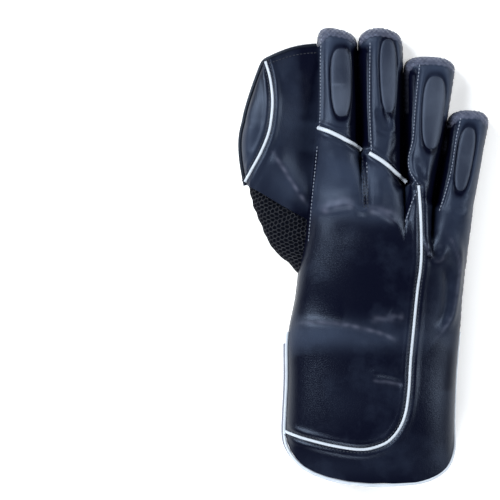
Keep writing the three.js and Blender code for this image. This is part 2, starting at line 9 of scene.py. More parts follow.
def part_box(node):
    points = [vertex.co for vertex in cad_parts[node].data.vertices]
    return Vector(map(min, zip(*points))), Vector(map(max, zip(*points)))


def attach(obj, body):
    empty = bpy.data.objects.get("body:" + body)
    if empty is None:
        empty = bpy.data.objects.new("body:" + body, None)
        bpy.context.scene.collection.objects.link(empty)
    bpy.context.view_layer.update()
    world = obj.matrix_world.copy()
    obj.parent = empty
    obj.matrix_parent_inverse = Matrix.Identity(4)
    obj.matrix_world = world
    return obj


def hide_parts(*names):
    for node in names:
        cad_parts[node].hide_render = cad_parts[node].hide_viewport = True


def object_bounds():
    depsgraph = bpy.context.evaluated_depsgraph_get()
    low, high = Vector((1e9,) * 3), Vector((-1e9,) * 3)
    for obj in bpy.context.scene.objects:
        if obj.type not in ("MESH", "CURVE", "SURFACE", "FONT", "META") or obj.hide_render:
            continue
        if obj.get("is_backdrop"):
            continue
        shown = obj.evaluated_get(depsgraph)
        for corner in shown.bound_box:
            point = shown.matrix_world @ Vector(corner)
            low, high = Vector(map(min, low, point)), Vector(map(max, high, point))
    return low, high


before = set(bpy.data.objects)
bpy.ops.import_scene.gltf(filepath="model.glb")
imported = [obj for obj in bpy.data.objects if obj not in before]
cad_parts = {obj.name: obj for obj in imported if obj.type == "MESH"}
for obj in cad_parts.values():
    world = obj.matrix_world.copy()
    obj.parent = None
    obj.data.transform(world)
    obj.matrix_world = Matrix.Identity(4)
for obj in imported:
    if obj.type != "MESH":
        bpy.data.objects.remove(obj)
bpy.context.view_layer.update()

mm = 0.001

# The pattern that the glove is cut to, in millimetres with the hem at y = 0, as in the frame
glove = {
    "length": 336.0, "cuffWidth": 126.0, "backHeight": 47.0, "knuckleHeight": 41.0,
    "fingertipHeight": 25.0, "palmLift": 4.0, "seamShare": 0.43, "knuckleWidth": 117.3,
    "knuckleShift": 18.0, "leatherWall": 2.0, "rubberWall": 3.0, "fingerGap": 0.5,
    "tipRounding": 13.0, "pleatLength": 42.0, "cornerRise": 36.0, "wristShare": 0.44,
}
# name, width, length, then the oval protector's place and size, as shares of the stall
fingerTable = [
    ("index", 0.293, 0.2477, 0.08, 0.51, 0.5, 0.62),
    ("middle", 0.284, 0.3112, 0.15, 0.65, 0.38, 0.53),
    ("ring", 0.18, 0.3149, 0.14, 0.6, 0.5, 0.52),
    ("little", 0.243, 0.2182, 0.05, 0.5, 0.4, 0.66),
]
crotchRise = [0.246, 0.107, -0.107, -0.278, -0.234]
crotchLean = [1.3, -1.0, -0.2, 9.5, 11.3]
# share of the hand's length, left and right edge, top, bottom
handSections = np.array([
    (0, 0, 0, 0.95, -0.01), (0.17, 0, -0.09, 1, -0.01), (0.33, 0.09, 0, 0.97, -0.01),
    (0.46, 0.06, 0.19, 0.92, 0), (0.505, 0.15, 0.27, 0.9, 0.015), (0.585, 0.345, 0.34, 0.93, 0),
    (0.67, 0.42, 0.5, 0.97, -0.01), (0.78, 0.65, 0.74, 0.98, 0), (0.885, 0.73, 0.98, 0.94, 0.05),
    (1, 0.82, 1, 0.89, 0.085), (1.125, 1, 1, 0.87, 0.085),
])
hemCorners = np.array([
    (0, 1), (0.01, 0.8), (0.03, 0.64), (0.06, 0.49), (0.108, 0.335), (0.17, 0.22), (0.249, 0.125),
    (0.36, 0.045), (0.484, 0.004), (0.64, 0), (0.766, 0.018), (0.83, 0.07), (0.877, 0.135),
    (0.92, 0.23), (0.954, 0.345), (0.98, 0.53), (0.993, 0.72), (1, 1),
])
sectionEasing = 0.045  # how far the corners between the sections are eased, as a share of the length

handLength = glove["length"] * (1 - fingerTable[1][2])
fingerShares = np.concatenate([[0], np.cumsum([row[1] for row in fingerTable])])
crotchY = handLength + np.array(crotchRise) * glove["knuckleWidth"]
knuckleLeft = glove["knuckleShift"] - glove["knuckleWidth"] / 2
knuckleRight = glove["knuckleShift"] + glove["knuckleWidth"] / 2
wristY = glove["wristShare"] * handLength


def smooth(t):
    c = np.clip(t, 0, 1)
    return c * c * (3 - 2 * c)


def arch(t, power):
    return np.maximum(0, 1 - np.minimum(1, np.abs(t)) ** power) ** (1 / power)


def mix(a, b, t):
    return a + (b - a) * t


def near(gap, width):
    # 1 on a line, falling off to nothing over about two widths
    return np.exp(-(gap / width) ** 2)


def softEnds(place, sharpness):
    # Fades what follows a line in and out at its two ends
    return smooth(place * sharpness) * smooth((1 - place) * sharpness)


def softTable(table, spread, low, high):
    # The table's columns over an even scale, with the corners between its rows eased
    at = np.linspace(low, high, 600)
    step = at[1] - at[0]
    reach = np.arange(-int(3 * spread / step), int(3 * spread / step) + 1) * step
    weight = near(reach, spread)
    columns = [at]
    for i in range(1, table.shape[1]):
        value = np.pad(np.interp(at, table[:, 0], table[:, i]), len(reach) // 2, mode="edge")
        columns.append(np.convolve(value, weight / weight.sum(), mode="valid"))
    return np.stack(columns, axis=1)


softSections = softTable(handSections, sectionEasing, -0.15, 1.3)


def section(column, y):
    return np.interp(y / handLength, softSections[:, 0], softSections[:, column])


def handLeft(y):
    return mix(-glove["cuffWidth"] / 2, knuckleLeft, section(1, y))


def handRight(y):
    return mix(glove["cuffWidth"] / 2, knuckleRight, section(2, y))


def handX(share, y):
    return mix(handLeft(y), handRight(y), share)


def seamZ(y):
    return mix(section(4, y), section(3, y), glove["seamShare"]) * glove["backHeight"]


def knuckleY(share):
    return np.interp(share, fingerShares, crotchY)


def hemY(share):
    return glove["cornerRise"] * np.interp(share, hemCorners[:, 0], hemCorners[:, 1])


# Where the pattern lies in the frame, from nodes whose edges are known
middleTip = (crotchY[1] + crotchY[2]) / 2 + fingerTable[1][2] * glove["length"]
shift = np.array([
    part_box("palm_cuff")[0][0] / mm + glove["cuffWidth"] / 2,
    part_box("middle_back")[1][1] / mm - middleTip,
    0.0,
])

# Seams, folds and pads were placed over the photograph, so their routes are written in its
# coordinates and turned into the pattern's millimetres here
photo = {"scale": 0.74, "cuffCentre": 370.75, "hem": 481.05}


def fromPhoto(points):
    p = np.array(points, float)
    return np.stack([(p[:, 0] - photo["cuffCentre"]) * photo["scale"],
                     (photo["hem"] - p[:, 1]) * photo["scale"]], axis=1)


def rounded(points, count=60):
    # A smooth curve through a few points, evenly stepped
    p = np.array(points, float)
    ends = np.concatenate([[2 * p[0] - p[1]], p, [2 * p[-1] - p[-2]]])
    out = []
    for a, b, c, d in zip(ends, ends[1:], ends[2:], ends[3:]):
        for t in np.linspace(0, 1, 12, endpoint=False):
            out.append(0.5 * (2 * b + (c - a) * t + (2 * a - 5 * b + 4 * c - d) * t * t
                              + (3 * b - a - 3 * c + d) * t ** 3))
    out = np.array(out + [p[-1]])
    along = np.concatenate([[0], np.cumsum(np.linalg.norm(np.diff(out, axis=0), axis=1))])
    steps = np.linspace(0, along[-1], count)
    return np.stack([np.interp(steps, along, out[:, i]) for i in range(p.shape[1])], axis=1)


def traced(route, count=30):
    return rounded(fromPhoto(route), count)


def lineDistance(x, y, line):
    # Distance to a line, how far along it is the nearest point, and on which side
    best = np.full(x.shape, 1e9)
    place = np.zeros(x.shape)
    side = np.zeros(x.shape)
    for i, (a, b) in enumerate(zip(line, line[1:])):
        d = b - a
        t = np.clip(((x - a[0]) * d[0] + (y - a[1]) * d[1]) / (d @ d), 0, 1)
        gap = np.hypot(x - a[0] - t * d[0], y - a[1] - t * d[1])
        closer = gap < best
        best = np.where(closer, gap, best)
        place = np.where(closer, (i + t) / (len(line) - 1), place)
        side = np.where(closer, np.sign((x - a[0]) * d[1] - (y - a[1]) * d[0]), side)
    return best, place, side


# Sewn seams of the back: route, the height of the edge that stands up along it,
# and how far the gusset beyond it drops away on the side of the index finger
sewnSeams = {
    "indexOuter": ([(321.5, 36), (320.5, 60), (320.3, 95), (319.5, 126)], 0.6, 0.8),
    "indexOuterLow": ([(317, 148), (314.5, 175), (311.5, 205), (308.5, 240)], 0.5, 0.6),
    "middleOuter": ([(370, 44), (369.3, 80), (369.2, 118), (370.5, 150)], 0.6, 2.2),
    "ringOuter": (
        [(419.5, 66), (417.5, 82), (414.5, 112), (412, 140), (408, 158), (409, 172), (416, 184)],
        0.6, 2.6,
    ),
    "littleOuter": ([(460.5, 119), (456, 138), (451.5, 165), (446, 186), (438.5, 210)], 0.6, 1.6),
    "middleLow": ([(366.2, 164), (366.4, 182), (366.6, 207)], 0.7, 0.0),
    "middleLowTwin": ([(362.2, 158), (362.6, 184), (363.0, 207)], 0.7, 0.0),
    "ringGusset": ([(416.5, 189), (410.5, 203), (404.5, 221)], 0.5, 0.0),
}
# Folds of the leather: route, height, half-width. Negative heights are creases.
leatherFolds = {
    "pleatArc": (
        [(310, 211), (330, 208), (350, 205), (361, 212), (372, 209), (384, 216), (394, 223), (404, 233)],
        2.7, 8.0,
    ),
    "pleatHollow": ([(324, 236), (345, 232), (368, 236), (388, 246), (401, 262)], -0.8, 10.0),
    "wristFold": ([(286, 326), (318, 327), (340, 329), (360, 332), (380, 336), (402, 341)], 2.8, 5.0),
    "wristHollow": ([(290, 300), (320, 300), (345, 302), (370, 306), (400, 314)], -0.6, 11.0),
    "wristCrease": ([(352, 343), (372, 346), (398, 352)], -0.4, 3.5),
    "sideTuck": ([(422, 234), (426, 249), (434, 259), (442, 254), (447, 243)], 1.3, 3.0),
    "sideHollow": ([(431, 228), (435, 240), (438, 250)], -0.8, 3.6),
    "sideCrease": ([(443, 262), (446, 275), (447, 292), (445, 312), (436, 329)], -2.1, 3.4),
    "sideRidge": (
        [(447, 230), (455, 242), (459, 260), (458, 282), (454, 302), (448, 322), (436, 338)], 2.0, 4.0,
    ),
    "cuffCrease": ([(368, 377), (386, 379), (404, 384)], -0.9, 3.4),
    "cuffFold": ([(366, 371), (386, 373), (404, 377)], 0.7, 3.0),
    "cuffDimple": ([(386, 312), (402, 320)], 0.5, 7.0),
    "indexFold": ([(330, 150), (338, 170), (341, 190)], 0.7, 4.0),
    "middleFold": ([(376, 176), (380, 194), (378, 208)], 0.7, 3.5),
    "middleDent": ([(374, 109), (380, 115), (386, 124), (389, 134)], -1.5, 4.0),
    "middleSwell": ([(383, 111), (391, 118), (396, 130), (396, 145), (388, 157)], 0.8, 2.2),
    "ringDent": ([(411, 158), (418, 166), (423, 178), (425, 192)], -1.2, 3.2),
    "ringFold": ([(421, 168), (427, 185), (426, 205)], 0.7, 3.5),
    "ringCrease": ([(416, 143), (430, 150), (446, 146)], -0.5, 1.6),
    "middleCrease": ([(374, 130), (388, 136), (403, 131)], -0.5, 1.6),
    "indexCrease": ([(326, 122), (342, 128), (357, 124)], -0.4, 1.6),
    "littleCrease": ([(450, 186), (462, 196), (474, 191)], -0.5, 1.8),
    "littleFold": ([(444, 208), (458, 216), (471, 209)], 0.7, 3.2),
}
# Half-width towards the cuff of the folds that fall off unevenly
cuffwards = {"pleatArc": 3.0, "wristFold": 13.0}
backPipingRoute = [
    (417.3, 186), (418.6, 203), (419.4, 221), (419.8, 252), (418.6, 270), (416, 289), (412, 330),
    (409.2, 359), (407.5, 386), (404.5, 409), (399, 424.5), (390, 436.5), (380, 443), (361, 447.5),
    (333, 444), (304, 437.2), (286, 431.5),
]
knuckleRoutes = {
    "index": [(318.5, 128.5), (333, 134.5), (348, 142.5), (361, 150)],
    "middle": [(369, 154), (382, 162.5), (394, 172.5), (406, 182.5)],
}
sewnLines = {name: traced(seam[0], 60) for name, seam in sewnSeams.items()}
backPipingLine = traced(backPipingRoute, 160)
knuckleLines = {name: traced(route, 24) for name, route in knuckleRoutes.items()}
# How the leather rises beside a cord and sinks under it: lip, its distance and width, sink, its width
cordBeds = {
    "back": (0.8, 4.2, 2.2, 1.3, 1.9),
    "knuckle": (0.7, 3.6, 1.7, 0.9, 2.2),
    "web": (0.9, 4.0, 2.2, 1.0, 1.9),
}
seamShape = {"width": 0.75, "dip": 0.75, "dipAt": 2.0, "dipWidth": 0.8}
gussetShape = {"start": 2.2, "end": 10.0, "fade": 8.0}


def cordBed(x, y, line, kind):
    lip, lipAt, lipWidth, sink, width = cordBeds[kind]
    gap = lineDistance(x, y, line)[0]
    return lip * near(gap - lipAt, lipWidth) - sink * near(gap, width)


def foldRelief(x, y, folds, count=30, sharpness=4):
    relief = np.zeros(x.shape)
    for name, (route, height, width) in folds.items():
        gap, place, side = lineDistance(x, y, traced(route, count))
        width = np.where(side > 0, cuffwards.get(name, width), width)
        relief += softEnds(place, sharpness) * height * near(gap, width)
    return relief


def gussetShare(gap, side):
    # 1 on the gusset beside a seam, 0 on the panel that the seam closes
    beyond = smooth((gap - gussetShape["end"]) / gussetShape["fade"])
    return np.where(side > 0, smooth(gap / gussetShape["start"]) * (1 - beyond), 0)


def seamRelief(x, y):
    # Height that seams, folds and pipings add to the leather of the back
    relief = foldRelief(x, y, leatherFolds)
    for name, line in sewnLines.items():
        _, height, drop = sewnSeams[name]
        gap, place, side = lineDistance(x, y, line)
        ridge = near(gap, seamShape["width"])
        ridge -= seamShape["dip"] * near(gap - seamShape["dipAt"], seamShape["dipWidth"])
        relief += softEnds(place, 12) * (height * ridge - drop * gussetShare(gap, side))
    relief += cordBed(x, y, backPipingLine, "back")
    for line in knuckleLines.values():
        relief += cordBed(x, y, line, "knuckle")
    return relief


# Painted shade in tucks and on flanks, where the leather lies in shade: route, half-width, amount
paintedShadeTucks = {
    "middle": ([(363.5, 152), (364.4, 180), (365, 209)], 1.5, 0.85),
    "index": ([(317, 146), (314, 172), (309.5, 206), (306, 236)], 1.1, 0.7),
    "ring": ([(410, 176), (409, 196), (404, 216)], 1.4, 0.7),
    "wristFlank": ([(296, 298), (310, 302), (330, 307), (345, 309)], 8.0, 0.6),
    "cuffFlank": ([(302, 352), (306, 380), (308, 405), (312, 428)], 10.0, 0.45),
    "sideFlank": ([(428, 346), (440, 356), (446, 372), (446, 392)], 7.0, 0.6),
}
# Creases with a pale edge, a painted highlight along the crest of the fold that is partly rubbed: route,
# half-width, amount
rubbedAndLitCreases = {
    "wrist": ([(292, 323), (315, 322), (337, 323), (367, 329), (387, 336), (402, 345)], 1.5, 0.42),
    "wristUpper": ([(367, 320), (384, 318), (405, 316)], 2.6, 0.25),
    "pleatLeft": ([(318, 213), (330, 206), (340, 203), (355, 206)], 3.4, 0.5),
    "pleatRight": ([(364, 209), (374, 211), (386, 213), (397, 222)], 3.0, 0.46),
    "side": (
        [(440, 227), (452, 244), (459, 265), (457, 287), (452, 312), (442, 330), (427, 345)], 1.2, 0.32,
    ),
    "tuck": ([(422, 237), (427, 252), (435, 261), (441, 259), (443, 250)], 1.0, 0.34),
    "cuff": ([(370, 378.5), (387, 381), (403, 384.5)], 1.2, 0.36),
    "web": ([(270, 149), (282, 167), (296, 189), (309, 208)], 1.5, 0.42),
}
# How the pale creases break up: what is left on average, how much that varies, wave length, seed
paleBreaks = {"share": 0.7, "change": 0.9, "wave": 6.0, "seed": 21}
# Where the leather is greyer, partly rubbed and partly a painted highlight where light falls on it: place
# and reach in the photograph, then how much
wearAndHighlightSpots = [
    (350, 180, 62, 30, 0.75), (334, 208, 28, 9, 0.8), (378, 214, 26, 9, 0.6), (328, 334, 46, 13, 0.85),
    (388, 338, 40, 12, 0.35), (337, 90, 24, 66, 0.6), (388, 95, 24, 70, 0.65), (433, 115, 26, 60, 0.7),
    (466, 165, 24, 60, 0.75), (447, 330, 16, 80, 0.3), (452, 225, 20, 30, 0.4), (290, 120, 30, 60, 0.35),
    (335, 46, 20, 16, 0.8), (384, 46, 22, 16, 0.8), (433, 74, 24, 18, 0.9), (470, 126, 22, 18, 0.9),
    (250, 150, 18, 34, 0.7), (292, 185, 26, 22, 0.55), (330, 400, 60, 20, 0.12), (372, 465, 90, 10, 0.15),
]
# Scuffs and painted highlights on the protectors, in the same way
padScuffsAndHighlights = {
    "index": [(341, 100, 12, 15, 0.7), (337, 85.5, 9, 1.6, 0.8)],
    "middle": [(392, 84, 10, 26, 0.35)],
    "ring": [(435, 112, 10, 30, 0.3)],
    "little": [(468, 150, 12, 30, 0.1)],
}


def routeMask(x, y, routes, count, sharpness):
    mask = np.zeros(x.shape)
    for route, width, amount in routes.values():
        gap, place, _ = lineDistance(x, y, traced(route, count))
        mask = np.maximum(mask, softEnds(place, sharpness) * amount * near(gap, width))
    return mask


def paintedShadeMask(x, y):
    # Painted shade: darkens the tucks, the flanks and the gussets beside the outer seams, where shade falls
    mask = routeMask(x, y, paintedShadeTucks, 20, 8)
    for name, line in sewnLines.items():
        gap, place, side = lineDistance(x, y, line)
        drop = min(1, sewnSeams[name][2] / 2)
        mask = np.maximum(mask, softEnds(place, 12) * gussetShare(gap, side) * drop)
    return mask


def paleShare(x, y):
    broken = paleBreaks["change"] * softNoise(x, y, paleBreaks["wave"], paleBreaks["seed"])
    broken += paleBreaks["share"]
    return np.clip(routeMask(x, y, rubbedAndLitCreases, 40, 5) * broken, 0, 1)


def spotPlaces(x, y, spots):
    # Place within each rubbed spot as shares of its reach, and its amount
    for px, py, wide, tall, amount in spots:
        cx, cy = fromPhoto([(px, py)])[0]
        yield (x - cx) / (wide * photo["scale"]), (y - cy) / (tall * photo["scale"]), amount


def wearAndHighlightShare(x, y):
    left = np.ones(x.shape)
    for u, v, amount in spotPlaces(x, y, wearAndHighlightSpots):
        left *= 1 - amount * np.exp(-u * u - v * v)
    return 1 - left


def padWearAndHighlight(name, x, y):
    total = np.zeros(x.shape)
    for u, v, amount in spotPlaces(x, y, padScuffsAndHighlights[name]):
        total = np.maximum(total, amount * np.exp(-u ** 2 - v ** 4))
    return total


def leatherMarks(x, y):
    # The gusset mark is painted shade; the two others are partly painted highlights
    return {"gusset": paintedShadeMask(x, y), "wearAndHighlight": wearAndHighlightShare(x, y), "pale": paleShare(x, y)}


def softNoise(x, y, size, seed):
    # A few crossed waves, turned by a fixed seed: the slow unevenness of stuffed leather
    turns = np.random.default_rng(seed)
    total = np.zeros(x.shape)
    for _ in range(7):
        angle, phase = turns.uniform(0, math.tau), turns.uniform(0, math.tau)
        wave = turns.uniform(0.7, 1.5) * size
        total += np.sin((x * math.cos(angle) + y * math.sin(angle)) * math.tau / wave + phase)
    return total / 7


def normalsOf(grid):
    n = np.cross(np.gradient(grid, axis=1), np.gradient(grid, axis=0))
    return n / np.maximum(np.linalg.norm(n, axis=2, keepdims=True), 1e-9)


def raised(grid, relief):
    return grid + normalsOf(grid) * relief[..., None]


uvReach = 400.0  # millimetres of pattern to one unit of the UV map
weldGap = 0.02  # points of a skin closer than this are one


def plainMesh(name, points, faces, uv):
    mesh = bpy.data.meshes.new(name)
    mesh.from_pydata(((points + shift) * mm).tolist(), [], faces)
    layer = mesh.uv_layers.new(name="pattern")
    corners = np.empty(len(mesh.loops), dtype=np.int64)
    mesh.loops.foreach_get("vertex_index", corners)
    layer.data.foreach_set("uv", (uv[corners] / uvReach).astype(np.float32).ravel())
    mesh.polygons.foreach_set("use_smooth", [True] * len(mesh.polygons))
    mesh.update()
    piece = bpy.data.objects.new(name, mesh)
    bpy.context.collection.objects.link(piece)
    return piece


def patternOf(grid, along=None):
    # The flat pattern of a skin: lengths across from its middle column, and lengths along
    steps = np.linalg.norm(np.diff(grid, axis=1), axis=2)
    across = np.concatenate([np.zeros((len(grid), 1)), np.cumsum(steps, axis=1)], axis=1)
    across -= across[:, grid.shape[1] // 2][:, None]
    return np.stack([across, grid[..., 1] if along is None else along], axis=2)


def sharpenBorder(mesh):
    # The rim of the wall that is added later doesn't bend the shading of the skin
    sides = np.empty(len(mesh.loops), dtype=np.int64)
    mesh.loops.foreach_get("edge_index", sides)
    border = np.bincount(sides, minlength=len(mesh.edges)) == 1
    mesh.attributes.new("sharp_edge", "BOOLEAN", "EDGE").data.foreach_set("value", border)


def sheetMesh(name, grid, wall, keep=None, flip=False, marks=None, crispBorder=True, along=None):
    # A grid of points as one skin, with the pattern's own lengths as its UV map
    rows, columns = grid.shape[:2]
    index = np.arange(rows * columns).reshape(rows, columns)
    corners = [index[:-1, :-1], index[:-1, 1:], index[1:, 1:], index[1:, :-1]]
    quads = np.stack(corners, axis=2).reshape(-1, 4)
    if keep is not None:
        quads = quads[keep.reshape(-1)]
    if flip:
        quads = quads[:, ::-1]
    uv = patternOf(grid, along).reshape(-1, 2) + uvReach / 2
    used, packed = np.unique(quads, return_inverse=True)
    piece = plainMesh(name, grid.reshape(-1, 3)[used], packed.reshape(-1, 4).tolist(), uv[used])
    for label, values in (marks or {}).items():
        layer = piece.data.attributes.new(label, "FLOAT", "POINT")
        layer.data.foreach_set("value", values.reshape(-1)[used].astype(np.float32))
    if crispBorder:
        sharpenBorder(piece.data)
    weld = piece.modifiers.new("Weld", "WELD")
    weld.merge_threshold = weldGap * mm
    solid = piece.modifiers.new("Wall", "SOLIDIFY")
    solid.thickness = wall * mm
    solid.offset = -1
    solid.use_quality_normals = True
    return piece


print("pattern ready")

# Camera, floor and light

viewSizes = {"distance": 2200.0, "sensor": 36.0, "aim": (250.0, 250.0), "picture": 500.0, "level": 22.0}
photoMiddle = np.append(fromPhoto([viewSizes["aim"]])[0], 0) + shift
cameraData = bpy.data.cameras.new("camera")
cameraData.sensor_width = viewSizes["sensor"]
seenWidth = viewSizes["picture"] * photo["scale"]
cameraData.lens = viewSizes["sensor"] * (viewSizes["distance"] - viewSizes["level"]) / seenWidth
cameraData.clip_end = 20
camera = bpy.data.objects.new("camera", cameraData)
camera.location = Vector((photoMiddle[0], photoMiddle[1], viewSizes["distance"])) * mm
bpy.context.collection.objects.link(camera)
bpy.context.scene.camera = camera

floorLooks = {"reach": 6.0, "colour": (0.95, 0.95, 0.95), "roughness": 0.7, "glow": 0.34}
floorMesh = bpy.data.meshes.new("floor")
r = floorLooks["reach"]
floorMesh.from_pydata([(-r, -r, 0), (r, -r, 0), (r, r, 0), (-r, r, 0)], [], [(0, 1, 2, 3)])
floor = bpy.data.objects.new("floor", floorMesh)
bpy.context.collection.objects.link(floor)
floorMaterial = bpy.data.materials.new("floor")
floorMaterial.use_nodes = True
floorShader = floorMaterial.node_tree.nodes["Principled BSDF"]
floorShader.inputs["Base Color"].default_value = (*floorLooks["colour"], 1)
floorShader.inputs["Roughness"].default_value = floorLooks["roughness"]
floorShader.inputs["Emission Color"].default_value = (1, 1, 1, 1)
floorShader.inputs["Emission Strength"].default_value = floorLooks["glow"]
floorMesh.materials.append(floorMaterial)
floor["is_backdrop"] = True

# name: place in metres, size, power, colour
lamps = {
    "windowLight": ((-1.6, 1.2, 1.6), 1.5, 95, (0.90, 0.95, 1.0)),
    "sideLight": ((2.2, 0.6, 1.3), 1.2, 52, (0.94, 0.97, 1.0)),
    "lowLight": ((-0.6, -2.2, 1.3), 1.4, 60, (0.94, 0.97, 1.0)),
}
for name, (place, size, power, colour) in lamps.items():
    data = bpy.data.lights.new(name, "AREA")
    data.shape = "DISK"
    data.size = size
    data.energy = power
    data.color = colour
    lamp = bpy.data.objects.new(name, data)
    lamp.location = place
    lamp.rotation_mode = "QUATERNION"
    lamp.rotation_quaternion = (-Vector(place)).to_track_quat("-Z", "Y")
    bpy.context.collection.objects.link(lamp)
worldLooks = {"colour": (0.95, 0.97, 1.0), "strength": 0.05}
world = bpy.data.worlds.new("studio")
world.use_nodes = True
world.node_tree.nodes["Background"].inputs["Color"].default_value = (*worldLooks["colour"], 1)
world.node_tree.nodes["Background"].inputs["Strength"].default_value = worldLooks["strength"]
bpy.context.scene.world = world
bpy.context.scene.view_settings.view_transform = "Standard"

# Materials


def feed(tree, node, values):
    # Sets the inputs of a node, or links them where the value is another node's output
    for key, value in values.items():
        if isinstance(value, bpy.types.NodeSocket):
            tree.links.new(value, node.inputs[key])
        else:
            node.inputs[key].default_value = value
    return node


def added(tree, kind, values, **settings):
    node = tree.nodes.new(kind)
    for name, value in settings.items():
        setattr(node, name, value)
    return feed(tree, node, values)


def treeSockets(tree, inputs, outputs):
    for name, kind, value in inputs:
        socket = tree.interface.new_socket(name=name, in_out="INPUT", socket_type=kind)
        if value is not None:
            socket.default_value = value
    for name, kind in outputs:
        tree.interface.new_socket(name=name, in_out="OUTPUT", socket_type=kind)
    return tree.nodes.new("NodeGroupInput").outputs, tree.nodes.new("NodeGroupOutput")


def mathNode(tree, operation, *values, clamp=False):
    values = dict(enumerate(values))
    return added(tree, "ShaderNodeMath", values, operation=operation, use_clamp=clamp).outputs[0]


def vectorNode(tree, operation, *values, output="Vector"):
    values = dict(enumerate(values))
    return added(tree, "ShaderNodeVectorMath", values, operation=operation).outputs[output]


def noiseNode(tree, vector, scale, detail=3.0, roughness=0.5):
    values = {"Vector": vector, "Scale": scale, "Detail": detail, "Roughness": roughness}
    return added(tree, "ShaderNodeTexNoise", values).outputs["Fac"]


def bumpNode(tree, height, strength, distance):
    values = {"Height": height, "Strength": strength, "Distance": distance}
    return added(tree, "ShaderNodeBump", values).outputs["Normal"]


# Leather grain: small pebbles with creases between them, fine pull lines and rubbed patches
grainSizes = {
    "crease": 0.22, "steepness": 4.0, "pebbleShare": 0.55, "pullShare": 0.9, "pullScale": 160.0,
    "stretch": (1.0, 0.35, 1.0), "patchScale": 26.0, "patchLevel": 0.47, "patchEdge": 4.0,
    "bump": 0.0004,
}
leatherGroup = bpy.data.node_groups.new("leatherGrain", "ShaderNodeTree")
inside, outside = treeSockets(
    leatherGroup,
    [("Place", "NodeSocketVector", None), ("Pebbles", "NodeSocketFloat", 900.0),
     ("Grain", "NodeSocketFloat", 0.25)],
    [("Rubbed", "NodeSocketFloat"), ("Normal", "NodeSocketVector")],
)
pebbles = added(leatherGroup, "ShaderNodeTexVoronoi", {}, feature="DISTANCE_TO_EDGE")
feed(leatherGroup, pebbles, {"Vector": inside["Place"], "Scale": inside["Pebbles"]})
pebbleTop = mathNode(leatherGroup, "MINIMUM", pebbles.outputs["Distance"], grainSizes["crease"])
pebbleTop = mathNode(leatherGroup, "MULTIPLY", pebbleTop, grainSizes["steepness"])
pebbleTop = mathNode(leatherGroup, "MULTIPLY", pebbleTop, grainSizes["pebbleShare"])
pull = vectorNode(leatherGroup, "MULTIPLY", inside["Place"], grainSizes["stretch"])
pull = noiseNode(leatherGroup, pull, grainSizes["pullScale"], 5.0, 0.6)
pull = mathNode(leatherGroup, "MULTIPLY", pull, grainSizes["pullShare"])
height = mathNode(leatherGroup, "ADD", pebbleTop, pull)
patches = noiseNode(leatherGroup, inside["Place"], grainSizes["patchScale"], 4.0, 0.62)
patches = mathNode(leatherGroup, "SUBTRACT", patches, grainSizes["patchLevel"])
rubbed = mathNode(leatherGroup, "MULTIPLY", patches, grainSizes["patchEdge"], clamp=True)
grainNormal = bumpNode(leatherGroup, height, inside["Grain"], grainSizes["bump"])
feed(leatherGroup, outside, {"Rubbed": rubbed, "Normal": grainNormal})

# Flat honeycomb on the floor of the rubber, in the pattern's own lengths. Each point is measured from
# the nearest middle of a cell, which lies on one of two rectangular lattices.
combSizes = {"bump": 0.0006, "roundness": 0.6}
halfCell = (0.5, math.sqrt(3) / 2, 0.0)
netGroup = bpy.data.node_groups.new("honeycombNet", "ShaderNodeTree")
inside, outside = treeSockets(
    netGroup,
    [("Place", "NodeSocketVector", None), ("Cell", "NodeSocketFloat", 3.1),
     ("Line", "NodeSocketFloat", 0.13), ("Depth", "NodeSocketFloat", 0.8)],
    [("Net", "NodeSocketFloat"), ("Normal", "NodeSocketVector")],
)
scaled = added(netGroup, "ShaderNodeVectorMath", {0: inside["Place"]}, operation="SCALE")
feed(netGroup, scaled, {"Scale": mathNode(netGroup, "DIVIDE", uvReach, inside["Cell"])})
flat = vectorNode(netGroup, "MULTIPLY", scaled.outputs["Vector"], (1.0, 1.0, 0.0))
wrapHigh = (halfCell[0], halfCell[1], 1.0)
wrapLow = (-halfCell[0], -halfCell[1], -1.0)
first = vectorNode(netGroup, "WRAP", flat, wrapHigh, wrapLow)
second = vectorNode(netGroup, "WRAP", vectorNode(netGroup, "ADD", flat, halfCell), wrapHigh, wrapLow)
nearer = mathNode(
    netGroup, "LESS_THAN",
    vectorNode(netGroup, "LENGTH", first, output="Value"),
    vectorNode(netGroup, "LENGTH", second, output="Value"),
)
chosen = added(netGroup, "ShaderNodeMix", {}, data_type="VECTOR")
feed(netGroup, chosen, {"Factor": nearer, 4: second, 5: first})
folded = vectorNode(netGroup, "ABSOLUTE", chosen.outputs[1])
slant = vectorNode(netGroup, "DOT_PRODUCT", folded, halfCell, output="Value")
straight = added(netGroup, "ShaderNodeSeparateXYZ", {0: folded}).outputs[0]
rim = mathNode(netGroup, "SUBTRACT", 0.5, mathNode(netGroup, "MAXIMUM", slant, straight))
rim = mathNode(netGroup, "DIVIDE", rim, inside["Line"])
net = mathNode(netGroup, "SUBTRACT", 1.0, rim, clamp=True)
netTop = mathNode(netGroup, "POWER", net, combSizes["roundness"])
netNormal = bumpNode(netGroup, netTop, inside["Depth"], combSizes["bump"])
feed(netGroup, outside, {"Net": netTop, "Normal": netNormal})


def mixColour(tree, factor, dark, light):
    ends = [c if isinstance(c, bpy.types.NodeSocket) else (*c, 1) for c in (dark, light)]
    node = added(tree, "ShaderNodeMix", {}, data_type="RGBA")
    return feed(tree, node, {"Factor": factor, 6: ends[0], 7: ends[1]}).outputs[2]


def mixNumber(tree, factor, low, high):
    values = {"Value": factor, "To Min": low, "To Max": high}
    return added(tree, "ShaderNodeMapRange", values).outputs["Result"]


def newMaterial(name):
    material = bpy.data.materials.new(name)
    material.use_nodes = True
    return material, material.node_tree, material.node_tree.nodes["Principled BSDF"]


sheenTint = (0.62, 0.76, 1.0, 1.0)
mottling = 0.35  # how far the rubbed patches of the grain lighten the colour
# how much shine the leather keeps under its painted shade
paintedShadeShine = 0.1
